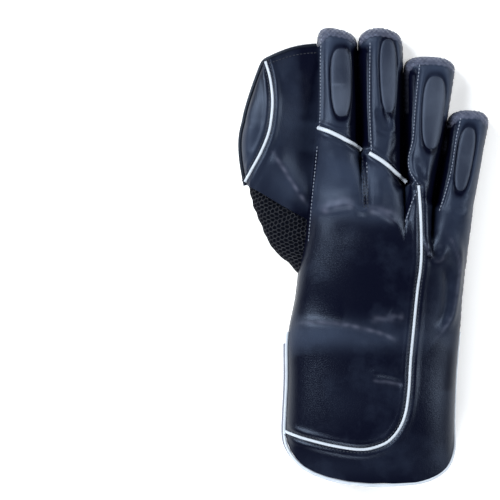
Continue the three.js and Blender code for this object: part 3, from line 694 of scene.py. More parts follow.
# marks are the vertex attributes that the material reads, and one that a piece lacks counts as zero
leatherLooks = {
    "leather": {
        "dark": (0.0012, 0.0016, 0.0072), "light": (0.0180, 0.0255, 0.0470), "rough": (0.31, 0.54),
        "grain": 0.21, "pebbles": 850.0, "shine": 0.27, "pale": (0.105, 0.112, 0.160),
        "marks": ("gusset", "wearAndHighlight", "pale"),
    },
    "pads": {
        "dark": (0.0150, 0.0190, 0.0330), "light": (0.0620, 0.0750, 0.1050), "rough": (0.44, 0.56),
        "grain": 0.25, "pebbles": 1100.0, "shine": 0.33, "marks": ("wearAndHighlight",),
    },
    "binding": {
        "dark": (0.0030, 0.0038, 0.0075), "light": (0.0090, 0.0105, 0.0170), "rough": (0.45, 0.6),
        "grain": 0.3, "pebbles": 1000.0, "shine": 0.3, "marks": (),
    },
}


def leatherMaterial(name, looks):
    material, tree, shader = newMaterial(name)
    place = tree.nodes.new("ShaderNodeTexCoord").outputs["Object"]
    group = added(tree, "ShaderNodeGroup", {}, node_tree=leatherGroup)
    feed(tree, group, {"Place": place, "Pebbles": looks["pebbles"], "Grain": looks["grain"]})
    marks = {
        mark: added(tree, "ShaderNodeAttribute", {}, attribute_name=mark).outputs["Fac"]
        for mark in looks["marks"]
    }
    tone = mathNode(tree, "MULTIPLY", group.outputs["Rubbed"], mottling)
    shine = looks["shine"]
    # The wear-and-highlight mark lightens the colour: partly rubbed leather, partly painted highlight
    if "wearAndHighlight" in marks:
        tone = mathNode(tree, "ADD", marks["wearAndHighlight"], tone)
    # The gusset mark is painted shade: a darker colour and less shine
    if "gusset" in marks:
        tone = mathNode(tree, "SUBTRACT", tone, marks["gusset"])
        shine = mixNumber(tree, marks["gusset"], shine, paintedShadeShine)
    tone = added(tree, "ShaderNodeClamp", {"Value": tone}).outputs["Result"]
    colour = mixColour(tree, tone, looks["dark"], looks["light"])
    # The pale mark is painted highlight along the creases, partly rubbed, and the pale rim at the
    # fingertips
    if "pale" in marks:
        colour = mixColour(tree, marks["pale"], colour, looks["pale"])
    feed(tree, shader, {
        "Base Color": colour, "Roughness": mixNumber(tree, tone, *looks["rough"]),
        "Specular IOR Level": shine, "Specular Tint": sheenTint, "Normal": group.outputs["Normal"],
    })
    return material


# cell is the width of one cell of the honeycomb in millimetres
rubberLooks = {
    "floor": (0.0010, 0.0012, 0.0028), "net": (0.0026, 0.0032, 0.0065), "rough": (0.75, 0.5),
    "shine": (0.05, 0.12), "cell": 3.4, "line": 0.2, "depth": 0.7,
}


def rubberMaterial(name, looks):
    material, tree, shader = newMaterial(name)
    uv = added(tree, "ShaderNodeUVMap", {}, uv_map="pattern").outputs["UV"]
    group = added(tree, "ShaderNodeGroup", {}, node_tree=netGroup)
    feed(tree, group, {"Place": uv, "Cell": looks["cell"], "Line": looks["line"], "Depth": looks["depth"]})
    net = group.outputs["Net"]
    feed(tree, shader, {
        "Base Color": mixColour(tree, net, looks["floor"], looks["net"]),
        "Roughness": mixNumber(tree, net, *looks["rough"]),
        "Specular IOR Level": mixNumber(tree, net, *looks["shine"]),
        "Specular Tint": sheenTint, "Normal": group.outputs["Normal"],
    })
    return material


# Cords, threads and the raised net of the rubber
cordLooks = {
    "piping": {
        "clean": (0.60, 0.65, 0.71), "soiled": (0.38, 0.42, 0.48), "rough": (0.34, 0.5), "shine": 0.5,
    },
    "net": {
        "clean": (0.0046, 0.0056, 0.0110), "soiled": (0.0020, 0.0026, 0.0056), "rough": (0.36, 0.52),
        "shine": 0.27,
    },
    # A darker copy of the piping, painted shade for the cord round the palm flap
    "paintedShadePiping": {
        "clean": (0.25, 0.26, 0.32), "soiled": (0.09, 0.095, 0.12), "rough": (0.4, 0.55), "shine": 0.5,
    },
    "darkThread": {
        "clean": (0.020, 0.025, 0.040), "soiled": (0.008, 0.010, 0.018), "rough": (0.4, 0.6),
        "shine": 0.5,
    },
    "thread": {
        "clean": (0.26, 0.29, 0.36), "soiled": (0.12, 0.14, 0.19), "rough": (0.4, 0.6), "shine": 0.5,
    },
}
cordGrain = {"soilScale": 90.0, "bumpScale": 700.0, "strength": 0.15, "distance": 0.0003}


def cordMaterial(name, looks):
    material, tree, shader = newMaterial(name)
    place = tree.nodes.new("ShaderNodeTexCoord").outputs["Object"]
    soil = noiseNode(tree, place, cordGrain["soilScale"], 5.0, 0.6)
    grain = noiseNode(tree, place, cordGrain["bumpScale"], 2.0)
    feed(tree, shader, {
        "Base Color": mixColour(tree, soil, looks["clean"], looks["soiled"]),
        "Roughness": mixNumber(tree, soil, *looks["rough"]), "Specular IOR Level": looks["shine"],
        "Normal": bumpNode(tree, grain, cordGrain["strength"], cordGrain["distance"]),
    })
    return material


materials = {name: leatherMaterial(name, looks) for name, looks in leatherLooks.items()}
materials["rubber"] = rubberMaterial("rubber", rubberLooks)
materials.update({name: cordMaterial(name, looks) for name, looks in cordLooks.items()})


def finishPiece(piece, material, slot, *nodes, padded=None):
    if not piece.data.materials:
        piece.data.materials.append(materials[material])
    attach(piece, "root")
    if nodes:
        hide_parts(*nodes)
    return piece


print("materials ready")

# Back of the hand and the cuff

# How the grooves between the fingers run on into the back of the hand
valleyRoutes = {
    1: [(363.0, 151), (364.2, 180), (365, 212)],
    2: [(404, 168), (403.6, 200), (402.8, 235)],
    3: [(441, 160), (437.5, 185), (434.5, 210), (432.7, 240)],
}
# How square the hand is above and below its side seam, how far from that seam the grooves between the
# fingers run at the pleat, and how much closer they come to it at the crotches
handShape = {"abovePower": 2.3, "belowPower": 3.4, "fingerPower": 2.6, "groove": 7.0, "grooveLoss": 5.5}
seamSplit = 0.1  # the two sides of the side seam stay this far from it


def valleyShare(n, y):
    if n not in valleyRoutes:
        return np.full(np.shape(y), fingerShares[n])
    line = fromPhoto(valleyRoutes[n])[::-1]
    moved = np.interp(y, line[:, 1], line[:, 0]) - np.interp(crotchY[n], line[:, 1], line[:, 0])
    x = handX(fingerShares[n], crotchY[n]) + moved
    return (x - handLeft(y)) / (handRight(y) - handLeft(y))


def handSurface(up, share, y):
    # Height of the hand's outer surface over the pattern
    wide = handRight(y) - handLeft(y)
    seam = seamZ(y)
    side = section(3 if up else 4, y) * glove["backHeight"]
    plain = np.abs(side - seam) * arch(2 * share - 1, handShape["abovePower" if up else "belowPower"])
    bounds = [valleyShare(n, y) if up else np.full(np.shape(y), fingerShares[n]) for n in range(5)]
    k = sum((share > bounds[n]).astype(int) for n in (1, 2, 3))
    low = np.choose(k, bounds[:4])
    high = np.choose(k, bounds[1:])
    half = (high - low) * wide / 2
    across = (share - (low + high) / 2) * wide
    outer = ((k == 0) & (across < 0)) | ((k == 3) & (across > 0))
    pleat = smooth((y - knuckleY(share) + glove["pleatLength"]) / glove["pleatLength"])
    groove = handShape["groove"] - handShape["grooveLoss"] * smooth((pleat - 0.6) / 0.4)
    valley = np.where(outer, 0, groove)
    crown = (glove["knuckleHeight"] - seam) if up else (seam - glove["palmLift"])
    hump = valley + (crown - valley) * arch(across / half, handShape["fingerPower"])
    z = mix(plain, hump, pleat)
    return seam + z if up else seam - z


def handColumns(count):
    spread = (1 - np.cos(np.linspace(0, math.pi, count + 1))) / 2
    parts = [mix(fingerShares[k], fingerShares[k + 1], spread[1:]) for k in range(4)]
    return np.concatenate([[0], *parts])


def handGrid(up, fromY, toY, columns, rows):
    share = handColumns(columns)[None, :]
    y = mix(fromY(share), toY(share), np.linspace(0, 1, rows)[:, None])
    share = np.broadcast_to(share, y.shape)
    z = handSurface(up, share, y)
    if up:
        z = np.maximum(z, seamZ(y) + seamSplit)
    else:
        z = np.maximum(np.minimum(z, seamZ(y) - seamSplit), 0)
    return np.stack([handX(share, y), y, z], axis=2)


def lineAt(value):
    return lambda share: np.full(np.shape(share), value)


backSizes = {
    "columns": 34, "rows": 300, "unevenness": 0.5, "waveLength": 34.0, "seed": 4, "seamReach": 6.0,
}


def backUnevenness(x, y):
    return backSizes["unevenness"] * softNoise(x, y, backSizes["waveLength"], backSizes["seed"])


def insideOutline(px, py, outline):
    count = np.zeros(px.shape, int)
    for a, b in zip(outline, np.roll(outline, -1, axis=0)):
        crosses = (a[1] > py) != (b[1] > py)
        if a[1] != b[1]:
            count += crosses & (px < a[0] + (py - a[1]) * (b[0] - a[0]) / (b[1] - a[1]))
    return count % 2 == 1


back = handGrid(True, hemY, knuckleY, backSizes["columns"], backSizes["rows"])
x, y = back[..., 0], back[..., 1]
edge = np.minimum(x - handLeft(y), handRight(y) - x)
back = raised(back, (seamRelief(x, y) + backUnevenness(x, y)) * smooth(edge / backSizes["seamReach"]))
x, y = back[..., 0], back[..., 1]
beyond = (-100, 400)  # left of the glove, and above it
panelOutline = np.concatenate([
    [[backPipingLine[0][0], beyond[1]]], backPipingLine,
    [[beyond[0], backPipingLine[-1][1]], [beyond[0], beyond[1]]],
])
inner = insideOutline((x[:-1, :-1] + x[1:, 1:]) / 2, (y[:-1, :-1] + y[1:, 1:]) / 2, panelOutline)
marks = leatherMarks(x, y)
for name, keep, node in (("backPanel", inner, "back_panel"), ("sidePanel", ~inner, "side_panel")):
    panel = sheetMesh(name, back, glove["leatherWall"], keep, marks=marks)
    finishPiece(panel, "leather", "leather", node)
print("back ready")

# Palm and palm flap

palmSizes = {"columns": 26, "rows": 150, "seamReach": 8.0, "flapGap": 0.2}
flapSizes = {"columns": 20, "rows": 90, "unevenness": 0.4, "waveLength": 40.0, "seed": 9}
netRise = 0.45  # the floor of the honeycomb lies this far above what the glove rests on
# Sewn channels of the palm, arcs round the thumb's ball and across the heel: route, height, half-width
palmChannels = {
    "ballInner": ([(318, 196), (334, 222), (342, 255), (336, 292), (318, 318)], -1.9, 2.2),
    "ballMiddle": ([(334, 186), (354, 214), (363, 252), (357, 292), (338, 322)], -1.7, 2.2),
    "ballOuter": ([(352, 180), (376, 208), (386, 250), (379, 292), (360, 324)], -1.7, 2.2),
    "heelInner": ([(392, 198), (404, 226), (408, 262), (400, 298), (386, 322)], -1.5, 2.2),
    "heelOuter": ([(424, 222), (432, 246), (432, 276), (422, 304)], -1.4, 2.2),
}
netGrids = {}  # the surfaces that the raised net follows, with their own lengths along if they have any


def rubberSheet(name, grid, node, padded, **options):
    # Leaves room below for the raised net
    grid[..., 2] = np.maximum(grid[..., 2], netRise)
    sheet = sheetMesh(name, grid, glove["rubberWall"], **options)
    finishPiece(sheet, "rubber", "rubber", node, padded=padded)


palmTop = wristY + palmSizes["flapGap"]
palm = handGrid(False, lineAt(palmTop), knuckleY, palmSizes["columns"], palmSizes["rows"])
relief = foldRelief(palm[..., 0], palm[..., 1], palmChannels, 40, 6)
relief = relief * smooth((seamZ(palm[..., 1]) - palm[..., 2]) / palmSizes["seamReach"])
palm[..., 2] = np.maximum(palm[..., 2] - relief, 0)
netGrids["palmNet"] = (palm.copy(), None)
rubberSheet("palmFacing", palm, "palm_facing", 0.6, flip=True)
flapTop = wristY - palmSizes["flapGap"]
flap = handGrid(False, hemY, lineAt(flapTop), flapSizes["columns"], flapSizes["rows"])
relief = softNoise(flap[..., 0], flap[..., 1], flapSizes["waveLength"], flapSizes["seed"])
flap[..., 2] = np.maximum(flap[..., 2] + flapSizes["unevenness"] * relief, 0)
sheet = sheetMesh("palmCuff", flap, glove["leatherWall"], flip=True)
finishPiece(sheet, "leather", "leather", "palm_cuff")
print("palm ready")

# Finger stalls

stallSizes = {
    "backColumns": 84, "backRows": 150, "frontColumns": 56, "frontRows": 104,
    "backPower": 2.6, "frontPower": 3.0, "rootEase": 1.6, "tipGap": 0.01,
    "rootReach": 26.0,  # how far up a stall the shape of the hand carries on
    "narrowFrom": 0.8, "narrowTo": 0.97, "endPower": 3.0, "endHeightPower": 2.4,
    "reliefFade": 20.0, "seamReach": 5.0,
}
# How far a tip rises towards the index side, and how square it is across
tipShapes = {"index": (3.0, 14.0), "middle": (0.8, 5.0), "ring": (1.0, 14.0), "little": (0.6, 14.0)}
# The rubber that is turned over the fingertips: how far it comes in at the tip and down the sides,
# the waves of its edge, its bumps and its pale colour, which is fainter below the side seam
rimSizes = {
    "tip": 6.0, "side": -0.8, "turnIn": 15.0, "turnLength": 9.0, "edge": 1.2, "waves": 0.5,
    "waveLength": 4.1, "bump": 0.34, "bumpLength": 3.4, "bumpFade": 0.6, "rootFade": 12.0,
    "groove": 0.45, "grooveAt": 0.6, "grooveWidth": 0.5, "edgeFrom": 60, "edgeStep": 6,
    "paleness": 0.5, "sidePaleness": 0.3, "patchiness": 0.3, "patchLength": 5.0, "seed": 12,
}
# Height, place and width of the groove round a protector, of the lip beyond it and of its dark line, a
# painted shade in the groove
padEdge = {"groove": (-0.8, 0.2, 1.0), "lip": (0.25, 2.4, 1.6), "dark": (0.75, 0.4, 0.8)}
# power 2 is a true ellipse, more is squarer
padSizes = {
    "power": 2.8, "taper": 0.1, "wide": 0.97, "tall": 0.985, "crown": 1.0, "crownPower": 6,
    "sink": 0.45, "wall": 0.8, "turns": 73, "rings": 16,
}
frontRibs = {"height": 0.35, "waveLength": 9.0, "seamReach": 6.0}

fingers = []
for k, row in enumerate(fingerTable):
    rootY = (crotchY[k] + crotchY[k + 1]) / 2
    fingers.append({
        "name": row[0], "place": k, "rootY": rootY, "reach": row[2] * glove["length"],
        "tipY": rootY + row[2] * glove["length"], "pad": row[3:],
        "sides": [(handX(fingerShares[n], crotchY[n]), crotchY[n], math.tan(math.radians(crotchLean[n])))
                  for n in (k, k + 1)],
    })


def stallSection(finger, y):
    # Middle, half-width, height of the side seam, and the reach above and below it
    along = np.clip((y - finger["rootY"]) / finger["reach"], 0, 1)
    left, right = [side[0] + side[2] * (y - side[1]) for side in finger["sides"]]
    rounding = glove["tipRounding"]
    u = np.clip((y - finger["tipY"] + rounding) / rounding, 0, 1)
    slope = smooth((y - finger["rootY"]) / (finger["reach"] - rounding))
    top = mix(glove["knuckleHeight"], glove["fingertipHeight"], slope)
    bottom = glove["palmLift"] * (1 - slope)
    seam = mix(bottom, top, glove["seamShare"])
    full = np.interp(along, [0, stallSizes["narrowFrom"], 1], [1, 1, stallSizes["narrowTo"]])
    half = ((right - left) / 2 * full - glove["fingerGap"] / 2) * arch(u, stallSizes["endPower"])
    tall = arch(u, stallSizes["endHeightPower"])
    return (left + right) / 2, half, seam, (top - seam) * tall, (seam - bottom) * tall


def stallGrid(finger, up, columns, rows):
    turn = np.linspace(0, math.pi, columns)[None, :]
    power = 2 / stallSizes["backPower" if up else "frontPower"]
    side = np.sign(np.cos(turn)) * np.abs(np.cos(turn)) ** power
    lift = np.abs(np.sin(turn)) ** power
    rootMiddle, rootHalf = stallSection(finger, finger["rootY"])[:2]
    crotchX = [handX(fingerShares[n], crotchY[n]) for n in range(5)]
    start = np.interp(rootMiddle + rootHalf * side, crotchX, crotchY + seamSplit)
    ease = 1 - (1 - np.linspace(0, 1, rows)[:, None]) ** stallSizes["rootEase"]
    y = mix(start, finger["tipY"] - stallSizes["tipGap"], ease)
    x, half, seam, above, below = stallSection(finger, y)
    skew, tipPower = tipShapes[finger["name"]]
    tipReach = 2 * glove["tipRounding"]
    past = np.clip((y - finger["tipY"] + tipReach) / tipReach, 0, 1)
    half = half * arch(past, tipPower)
    if up:
        z = seam + seamSplit + (above - seamSplit) * lift
    else:
        z = seam - seamSplit - (below - seamSplit) * lift
    tilt = skew * half * side / stallSection(finger, finger["tipY"] - tipReach)[1]
    grid = np.stack([x + half * side, y - tilt * smooth(past), z], axis=2)
    # The stall grows out of the hand's own edge and takes its own shape further up
    k = finger["place"]
    share = mix(fingerShares[k], fingerShares[k + 1], (side[0] * 0.998 + 1) / 2)
    edgeY = knuckleY(share)
    edge = np.stack([handX(share, edgeY), edgeY, handSurface(up, share, edgeY)], axis=1)
    away = 1 - smooth((y - start) / stallSizes["rootReach"])
    return grid + (edge - grid[0])[None] * away[..., None]


def ovalOf(finger):
    # Middle of the protector, its lean and its two half sizes
    y = mix(finger["rootY"], finger["tipY"], finger["pad"][1])
    x, half = stallSection(finger, y)[:2]
    lean = math.atan((finger["sides"][0][2] + finger["sides"][1][2]) / 2)
    wide = finger["pad"][2] * half
    return x + finger["pad"][0] * 2 * half, y, lean, wide, finger["pad"][3] * finger["reach"] / 2


def ovalTaper(v, tall):
    return 1 + padSizes["taper"] * np.clip(v / tall, -1, 1)


def ovalGap(finger, x, y):
    # Distance to the edge of the protector
    cx, cy, lean, wide, tall = ovalOf(finger)
    u = (x - cx) * math.cos(lean) - (y - cy) * math.sin(lean)
    v = (x - cx) * math.sin(lean) + (y - cy) * math.cos(lean)
    power = padSizes["power"]
    place = np.abs(u / (wide * ovalTaper(v, tall))) ** power + np.abs(v / tall) ** power
    return (place ** (1 / power) - 1) * wide


def padLine(kind, gap):
    height, at, width = padEdge[kind]
    return height * near(gap - at, width)


def stallBack(finger):
    name, tipY = finger["name"], finger["tipY"]
    grid = stallGrid(finger, True, stallSizes["backColumns"], stallSizes["backRows"])[:, ::-1]
    x, y = grid[..., 0], grid[..., 1]
    gap = ovalGap(finger, x, y)
    fade = smooth((glove["tipRounding"] + tipY - y) / stallSizes["reliefFade"])
    relief = seamRelief(x, y) + padLine("groove", gap) + padLine("lip", gap)
    relief = relief * fade + backUnevenness(x, y)
    above = smooth((grid[..., 2] - stallSection(finger, y)[2]) / stallSizes["seamReach"])
    start, step = rimSizes["edgeFrom"], rimSizes["edgeStep"]
    border = np.concatenate([grid[start::step, 0, :2], grid[:start - 1:-step, -1, :2]])
    inward = lineDistance(x, y, border)[0]
    depth = smooth((y - tipY + rimSizes["turnIn"]) / rimSizes["turnLength"])
    depth = mix(rimSizes["side"], rimSizes["tip"], depth)
    depth += rimSizes["waves"] * np.sin(x * math.tau / rimSizes["waveLength"])
    rim = 1 - smooth((inward - depth) / rimSizes["edge"])
    rim *= smooth((y - finger["rootY"] - stallSizes["rootReach"]) / rimSizes["rootFade"])
    turns = math.tau / rimSizes["bumpLength"]
    bumps = rim * rimSizes["bump"] * np.sin(x * turns) * np.sin(y * turns + 1)
    bumps *= smooth((tipY - y) / rimSizes["bumpFade"])
    relief -= rimSizes["groove"] * near(inward - depth - rimSizes["grooveAt"], rimSizes["grooveWidth"])
    grid = raised(grid, relief * above + bumps)
    x, y = grid[..., 0], grid[..., 1]
    marks = leatherMarks(x, y)
    # Painted shade along the groove round the protector
    marks["gusset"] = np.maximum(marks["gusset"], padLine("dark", gap))
    # The rim is painted paler above the side seam than below it
    rubbed = rimSizes["patchiness"] * softNoise(x, y, rimSizes["patchLength"], rimSizes["seed"])
    rubbed = rim * mix(rimSizes["sidePaleness"], 1, above) * (rimSizes["paleness"] + rubbed)
    marks["pale"] = np.maximum(marks["pale"], rubbed)
    sheet = sheetMesh(name + "Back", grid, glove["leatherWall"], marks=marks)
    finishPiece(sheet, "leather", "leather", name + "_back", padded=0.5)


def stallFront(finger):
    name = finger["name"]
    grid = stallGrid(finger, False, stallSizes["frontColumns"], stallSizes["frontRows"])
    y = grid[..., 1]
    ribs = frontRibs["height"] * np.sin(y * math.tau / frontRibs["waveLength"])
    ribs *= smooth((stallSection(finger, y)[2] - grid[..., 2]) / frontRibs["seamReach"])
    grid[..., 2] = np.maximum(grid[..., 2] - ribs, 0)
    netGrids[name + "Net"] = (grid[:-4].copy(), None)
    rubberSheet(name + "Front", grid, name + "_front", 0.5)


def protector(finger):
    name = finger["name"]
    cx, cy, lean, wide, tall = ovalOf(finger)
    turn = np.linspace(0, math.tau, padSizes["turns"])[:, None]
    out = np.sin(np.linspace(0, math.pi / 2, padSizes["rings"]))[None, :]
    power = padSizes["power"]
    radius = (np.abs(np.cos(turn)) ** power + np.abs(np.sin(turn)) ** power) ** (-1 / power)
    u = radius * np.cos(turn) * wide * out * padSizes["wide"]
    v = radius * np.sin(turn) * tall * out * padSizes["tall"]
    u = u * ovalTaper(v, tall)
    x = cx + u * math.cos(lean) + v * math.sin(lean)
    y = cy + v * math.cos(lean) - u * math.sin(lean)
    middle, half, seam, above, _ = stallSection(finger, y)
    crown = np.sqrt(np.maximum(0, 1 - out ** padSizes["crownPower"]))
    crown = padSizes["crown"] * crown - padSizes["sink"]
    z = seam + above * arch((x - middle) / half, stallSizes["backPower"]) + crown
    grid = np.stack([x, y, z], axis=2)
    marks = {"wearAndHighlight": padWearAndHighlight(name, x, y)}
    sheet = sheetMesh(name + "Pad", grid, padSizes["wall"], crispBorder=False, marks=marks)
    finishPiece(sheet, "pads", "pads", name + "_pad", padded=0.9)


for finger in fingers:
    stallBack(finger)
    stallFront(finger)
    protector(finger)
print("finger stalls ready")

# Thumb stall

# bareRows is how many rows at the tip carry no raised net
thumbSizes = {
    "length": 118.0, "width": 43.0, "height": 25.0, "lean": 22.7, "inset": 15.0, "rootShare": 0.632,
    "columns": 150, "gussetColumns": 40, "rows": 120, "power": 2.4, "rootEase": 1.4,
    "ribs": 13, "ribHeight": 0.3, "ribReach": 4.0, "bareRows": 6,
    "endShare": 0.9999, "endRounding": 1.4, "endPower": 2.6, "endHeightPower": 2.4,
}
thumbFullness = np.array([
    (0, 0.3), (0.12, 0.49), (0.2, 0.66), (0.28, 0.9), (0.37, 1), (0.6, 1), (0.8, 0.82), (1, 0.72),
])
thumbTurns = {"stall": (61.5, 348), "gusset": (-11, 61)}
thumbRoot = thumbSizes["rootShare"] * handLength
thumbLean = math.radians(thumbSizes["lean"])
thumbAxis = np.array([-math.sin(thumbLean), math.cos(thumbLean), 0])
thumbSide = np.array([thumbAxis[1], -thumbAxis[0], 0])
thumbStart = np.array([handLeft(thumbRoot) + thumbSizes["inset"], thumbRoot, thumbSizes["height"] / 2])
thumbSteps = np.linspace(0, 1, thumbSizes["rows"])[:, None]
thumbEased = 1 - (1 - thumbSteps) ** thumbSizes["rootEase"]


def squared(v):
    return np.sign(v) * np.abs(v) ** (2 / thumbSizes["power"])


def thumbGrid(kind, columns):
    turn = np.radians(np.linspace(*thumbTurns[kind], columns))[None, :]
    along = thumbEased * thumbSizes["endShare"]
    rounding = thumbSizes["endRounding"] * glove["tipRounding"]
    u = np.clip((along * thumbSizes["length"] - thumbSizes["length"] + rounding) / rounding, 0, 1)
    full = np.interp(along, thumbFullness[:, 0], thumbFullness[:, 1])
    half = thumbSizes["width"] / 2 * full * arch(u, thumbSizes["endPower"])
    tall = thumbSizes["height"] / 2 * arch(u, thumbSizes["endHeightPower"])
    points = thumbStart + thumbAxis * (along * thumbSizes["length"])[..., None]
    points = points + thumbSide * (half * squared(np.cos(turn)))[..., None]
    points[..., 2] = thumbSizes["height"] / 2 + tall * squared(np.sin(turn))
    return points


thumb = thumbGrid("stall", thumbSizes["columns"])
ribs = thumbSizes["ribHeight"] * np.sin(thumbSteps * math.tau * thumbSizes["ribs"])
thumb = raised(thumb, -ribs * smooth((thumb[..., 2] - 1) / thumbSizes["ribReach"]))
thumb[..., 2] = np.maximum(thumb[..., 2], 0)
thumbAlong = thumbEased * thumbSizes["length"] * np.ones((1, thumbSizes["columns"]))
netted = slice(None, -thumbSizes["bareRows"])
netGrids["thumbNet"] = (thumb[netted].copy(), thumbAlong[netted])
rubberSheet("thumbStall", thumb, "thumb_stall", 0.5, flip=True, along=thumbAlong)
gusset = thumbGrid("gusset", thumbSizes["gussetColumns"])
sheet = sheetMesh("thumbGusset", gusset, glove["leatherWall"], flip=True)
finishPiece(sheet, "leather", "leather", "thumb_gusset")
print("thumb ready")

# Web between the thumb and the index

# crest is where across the web it is highest, rootInset how far its root reaches in under the hand.
# The heights at the root are shares of the crown, at the top and at the bottom of the web.
webSizes = {
    "reach": 52.0, "topDrop": 13.5, "bottomShare": 0.825, "facing": 2.0, "outerHeight": 14.0,
    "clearance": 0.3, "crest": 0.6, "rootInset": 5.0, "bulge": 0.06, "rows": 150, "columns": 110,
    "unevenness": 0.5, "waveLength": 30.0, "seed": 33, "rootHeights": (0.44, 0.86), "topRise": 6.0,
    "topCrown": 0.72, "edgePower": 2.8, "columnEase": 1.5, "edgeFade": 12, "rootFade": 8,
}
# place down the web, reach, drop
webOutline = rounded([
    (0, 0.754, 0.227), (0.2, 0.875, 0.08), (0.4, 0.98, -0.04), (0.6, 1, -0.26), (0.8, 0.946, -0.407),
    (1, 0.846, -0.54),
], 80)
webOutline = webOutline[np.argsort(webOutline[:, 0])]
webPipingLine = traced([
    (265.5, 61), (269.3, 74), (271.6, 88), (272.4, 106), (269.4, 130), (262, 150), (251, 171),
    (245, 182),
], 90)
webFolds = {
    "diagonal": ([(268, 150), (282, 168), (296, 187), (309, 206)], 2.4, 7.5),
    "hollow": ([(262, 178), (274, 190), (288, 203), (300, 214)], -1.0, 7.0),
    "outerDent": ([(252, 118), (250, 140), (250, 162)], 1.2, 6.5),
    "upperDent": ([(290, 75), (288, 110), (292, 145)], -1.2, 11.0),
}
webTop = fingers[0]["tipY"] - webSizes["topDrop"]
webBottom = webSizes["bottomShare"] * handLength
webWall = webSizes["facing"] + glove["leatherWall"]
webCrown = thumbSizes["height"] + 2 * webSizes["clearance"] + webWall


def webPoint(down, out, depth):
    # A point of the web, depth below its outer surface
    rootY = mix(webTop, webBottom, down)
    sideX, sideY, lean = fingers[0]["sides"][0]
    rootX = np.where(rootY > sideY, sideX + lean * (rootY - sideY), handLeft(rootY))
    rootX = rootX + webSizes["rootInset"]
    reach, drop = [webSizes["reach"] * np.interp(down, webOutline[:, 0], webOutline[:, i]) for i in (1, 2)]
    reach = reach + webSizes["rootInset"]
    rootTop, rootBottom = [share * webCrown for share in webSizes["rootHeights"]]
    rootZ = mix(rootTop + webSizes["topRise"], rootBottom, smooth(down * 1.3))
    edgeZ = webSizes["outerHeight"] + webWall
    crest = webSizes["crest"]
    crown = mix(webSizes["topCrown"], 1, smooth(down * 2.4)) * webCrown
    rising = mix(rootZ, crown, smooth(out / crest))
    falling = edgeZ + (crown - edgeZ) * arch((out - crest) / (1 - crest), webSizes["edgePower"])
    z = np.where(out < crest, rising, falling)
    bulge = np.sin(math.pi * out) * webSizes["bulge"] * webSizes["reach"] * (1 - smooth(down * 5))
    return np.stack([rootX - reach * out, rootY - drop * out + bulge, z - depth], axis=-1)


down = np.linspace(0, 1, webSizes["rows"])[:, None]
out = (1 - (1 - np.linspace(0, 1, webSizes["columns"])) ** webSizes["columnEase"])[None, :]
down, out = np.broadcast_arrays(down, out)
web = webPoint(down, out, 0.0)
x, y = web[..., 0], web[..., 1]
relief = cordBed(x, y, webPipingLine, "web") + foldRelief(x, y, webFolds)
relief += webSizes["unevenness"] * softNoise(x, y, webSizes["waveLength"], webSizes["seed"])
relief = relief * smooth((1 - out) * webSizes["edgeFade"]) * smooth(out * webSizes["rootFade"])
web = raised(web, relief)
marks = leatherMarks(web[..., 0], web[..., 1])
finishPiece(sheetMesh("webBack", web, glove["leatherWall"], marks=marks), "leather", "leather", "web_back")
facing = webPoint(down, out, glove["leatherWall"] + webSizes["clearance"])[::3, ::2]
finishPiece(sheetMesh("webFacing", facing, webSizes["facing"]), "rubber", "rubber", "web_facing")
print("web ready")

# Cords and stitches follow lines laid on the surface that is seen from above


def lineTree(name, inputs):
    tree = bpy.data.node_groups.new(name, "GeometryNodeTree")
    inputs = [("Line", "NodeSocketGeometry", None), *inputs, ("Material", "NodeSocketMaterial", None)]
    return tree, *treeSockets(tree, inputs, [("Geometry", "NodeSocketGeometry")])


def realized(tree, geometry, inside, outside):
    real = added(tree, "GeometryNodeRealizeInstances", {"Geometry": geometry}).outputs["Geometry"]
    values = {"Geometry": real, "Material": inside["Material"]}
    painted = added(tree, "GeometryNodeSetMaterial", values)
    feed(tree, outside, {"Geometry": painted.outputs["Geometry"]})


# A round cord along the line
cordTree, inside, outside = lineTree("cordAlongLine", [
    ("Radius", "NodeSocketFloat", 0.0014), ("Sides", "NodeSocketInt", 14),
    ("Caps", "NodeSocketBool", True),
])
curve = added(cordTree, "GeometryNodeMeshToCurve", {"Mesh": inside["Line"]})
profile = added(cordTree, "GeometryNodeCurvePrimitiveCircle", {})
feed(cordTree, profile, {"Radius": inside["Radius"], "Resolution": inside["Sides"]})
sweep = added(cordTree, "GeometryNodeCurveToMesh", {
    "Curve": curve.outputs["Curve"], "Profile Curve": profile.outputs["Curve"],
    "Fill Caps": inside["Caps"],
})
shade = added(cordTree, "GeometryNodeSetShadeSmooth", {"Geometry": sweep.outputs["Mesh"]})
realized(cordTree, shade.outputs["Geometry"], inside, outside)

# Single stitches along the line
stitchTree, inside, outside = lineTree("stitchRow", [
    ("Spacing", "NodeSocketFloat", 0.0026), ("Length", "NodeSocketFloat", 0.0019),
    ("Thread", "NodeSocketFloat", 0.0004),
])
curve = added(stitchTree, "GeometryNodeMeshToCurve", {"Mesh": inside["Line"]})
points = added(stitchTree, "GeometryNodeCurveToPoints", {}, mode="LENGTH")
feed(stitchTree, points, {"Curve": curve.outputs["Curve"], "Length": inside["Spacing"]})
stitch = added(stitchTree, "GeometryNodeMeshUVSphere", {"Segments": 6, "Rings": 5, "Radius": 1.0})
halfLength = mathNode(stitchTree, "MULTIPLY", inside["Length"], 0.5)
scale = added(stitchTree, "ShaderNodeCombineXYZ", {0: inside["Thread"], 1: inside["Thread"], 2: halfLength})
row = added(stitchTree, "GeometryNodeInstanceOnPoints", {
    "Points": points.outputs["Points"], "Instance": stitch.outputs["Mesh"],
    "Rotation": points.outputs["Rotation"], "Scale": scale.outputs[0],
})
realized(stitchTree, row.outputs["Instances"], inside, outside)


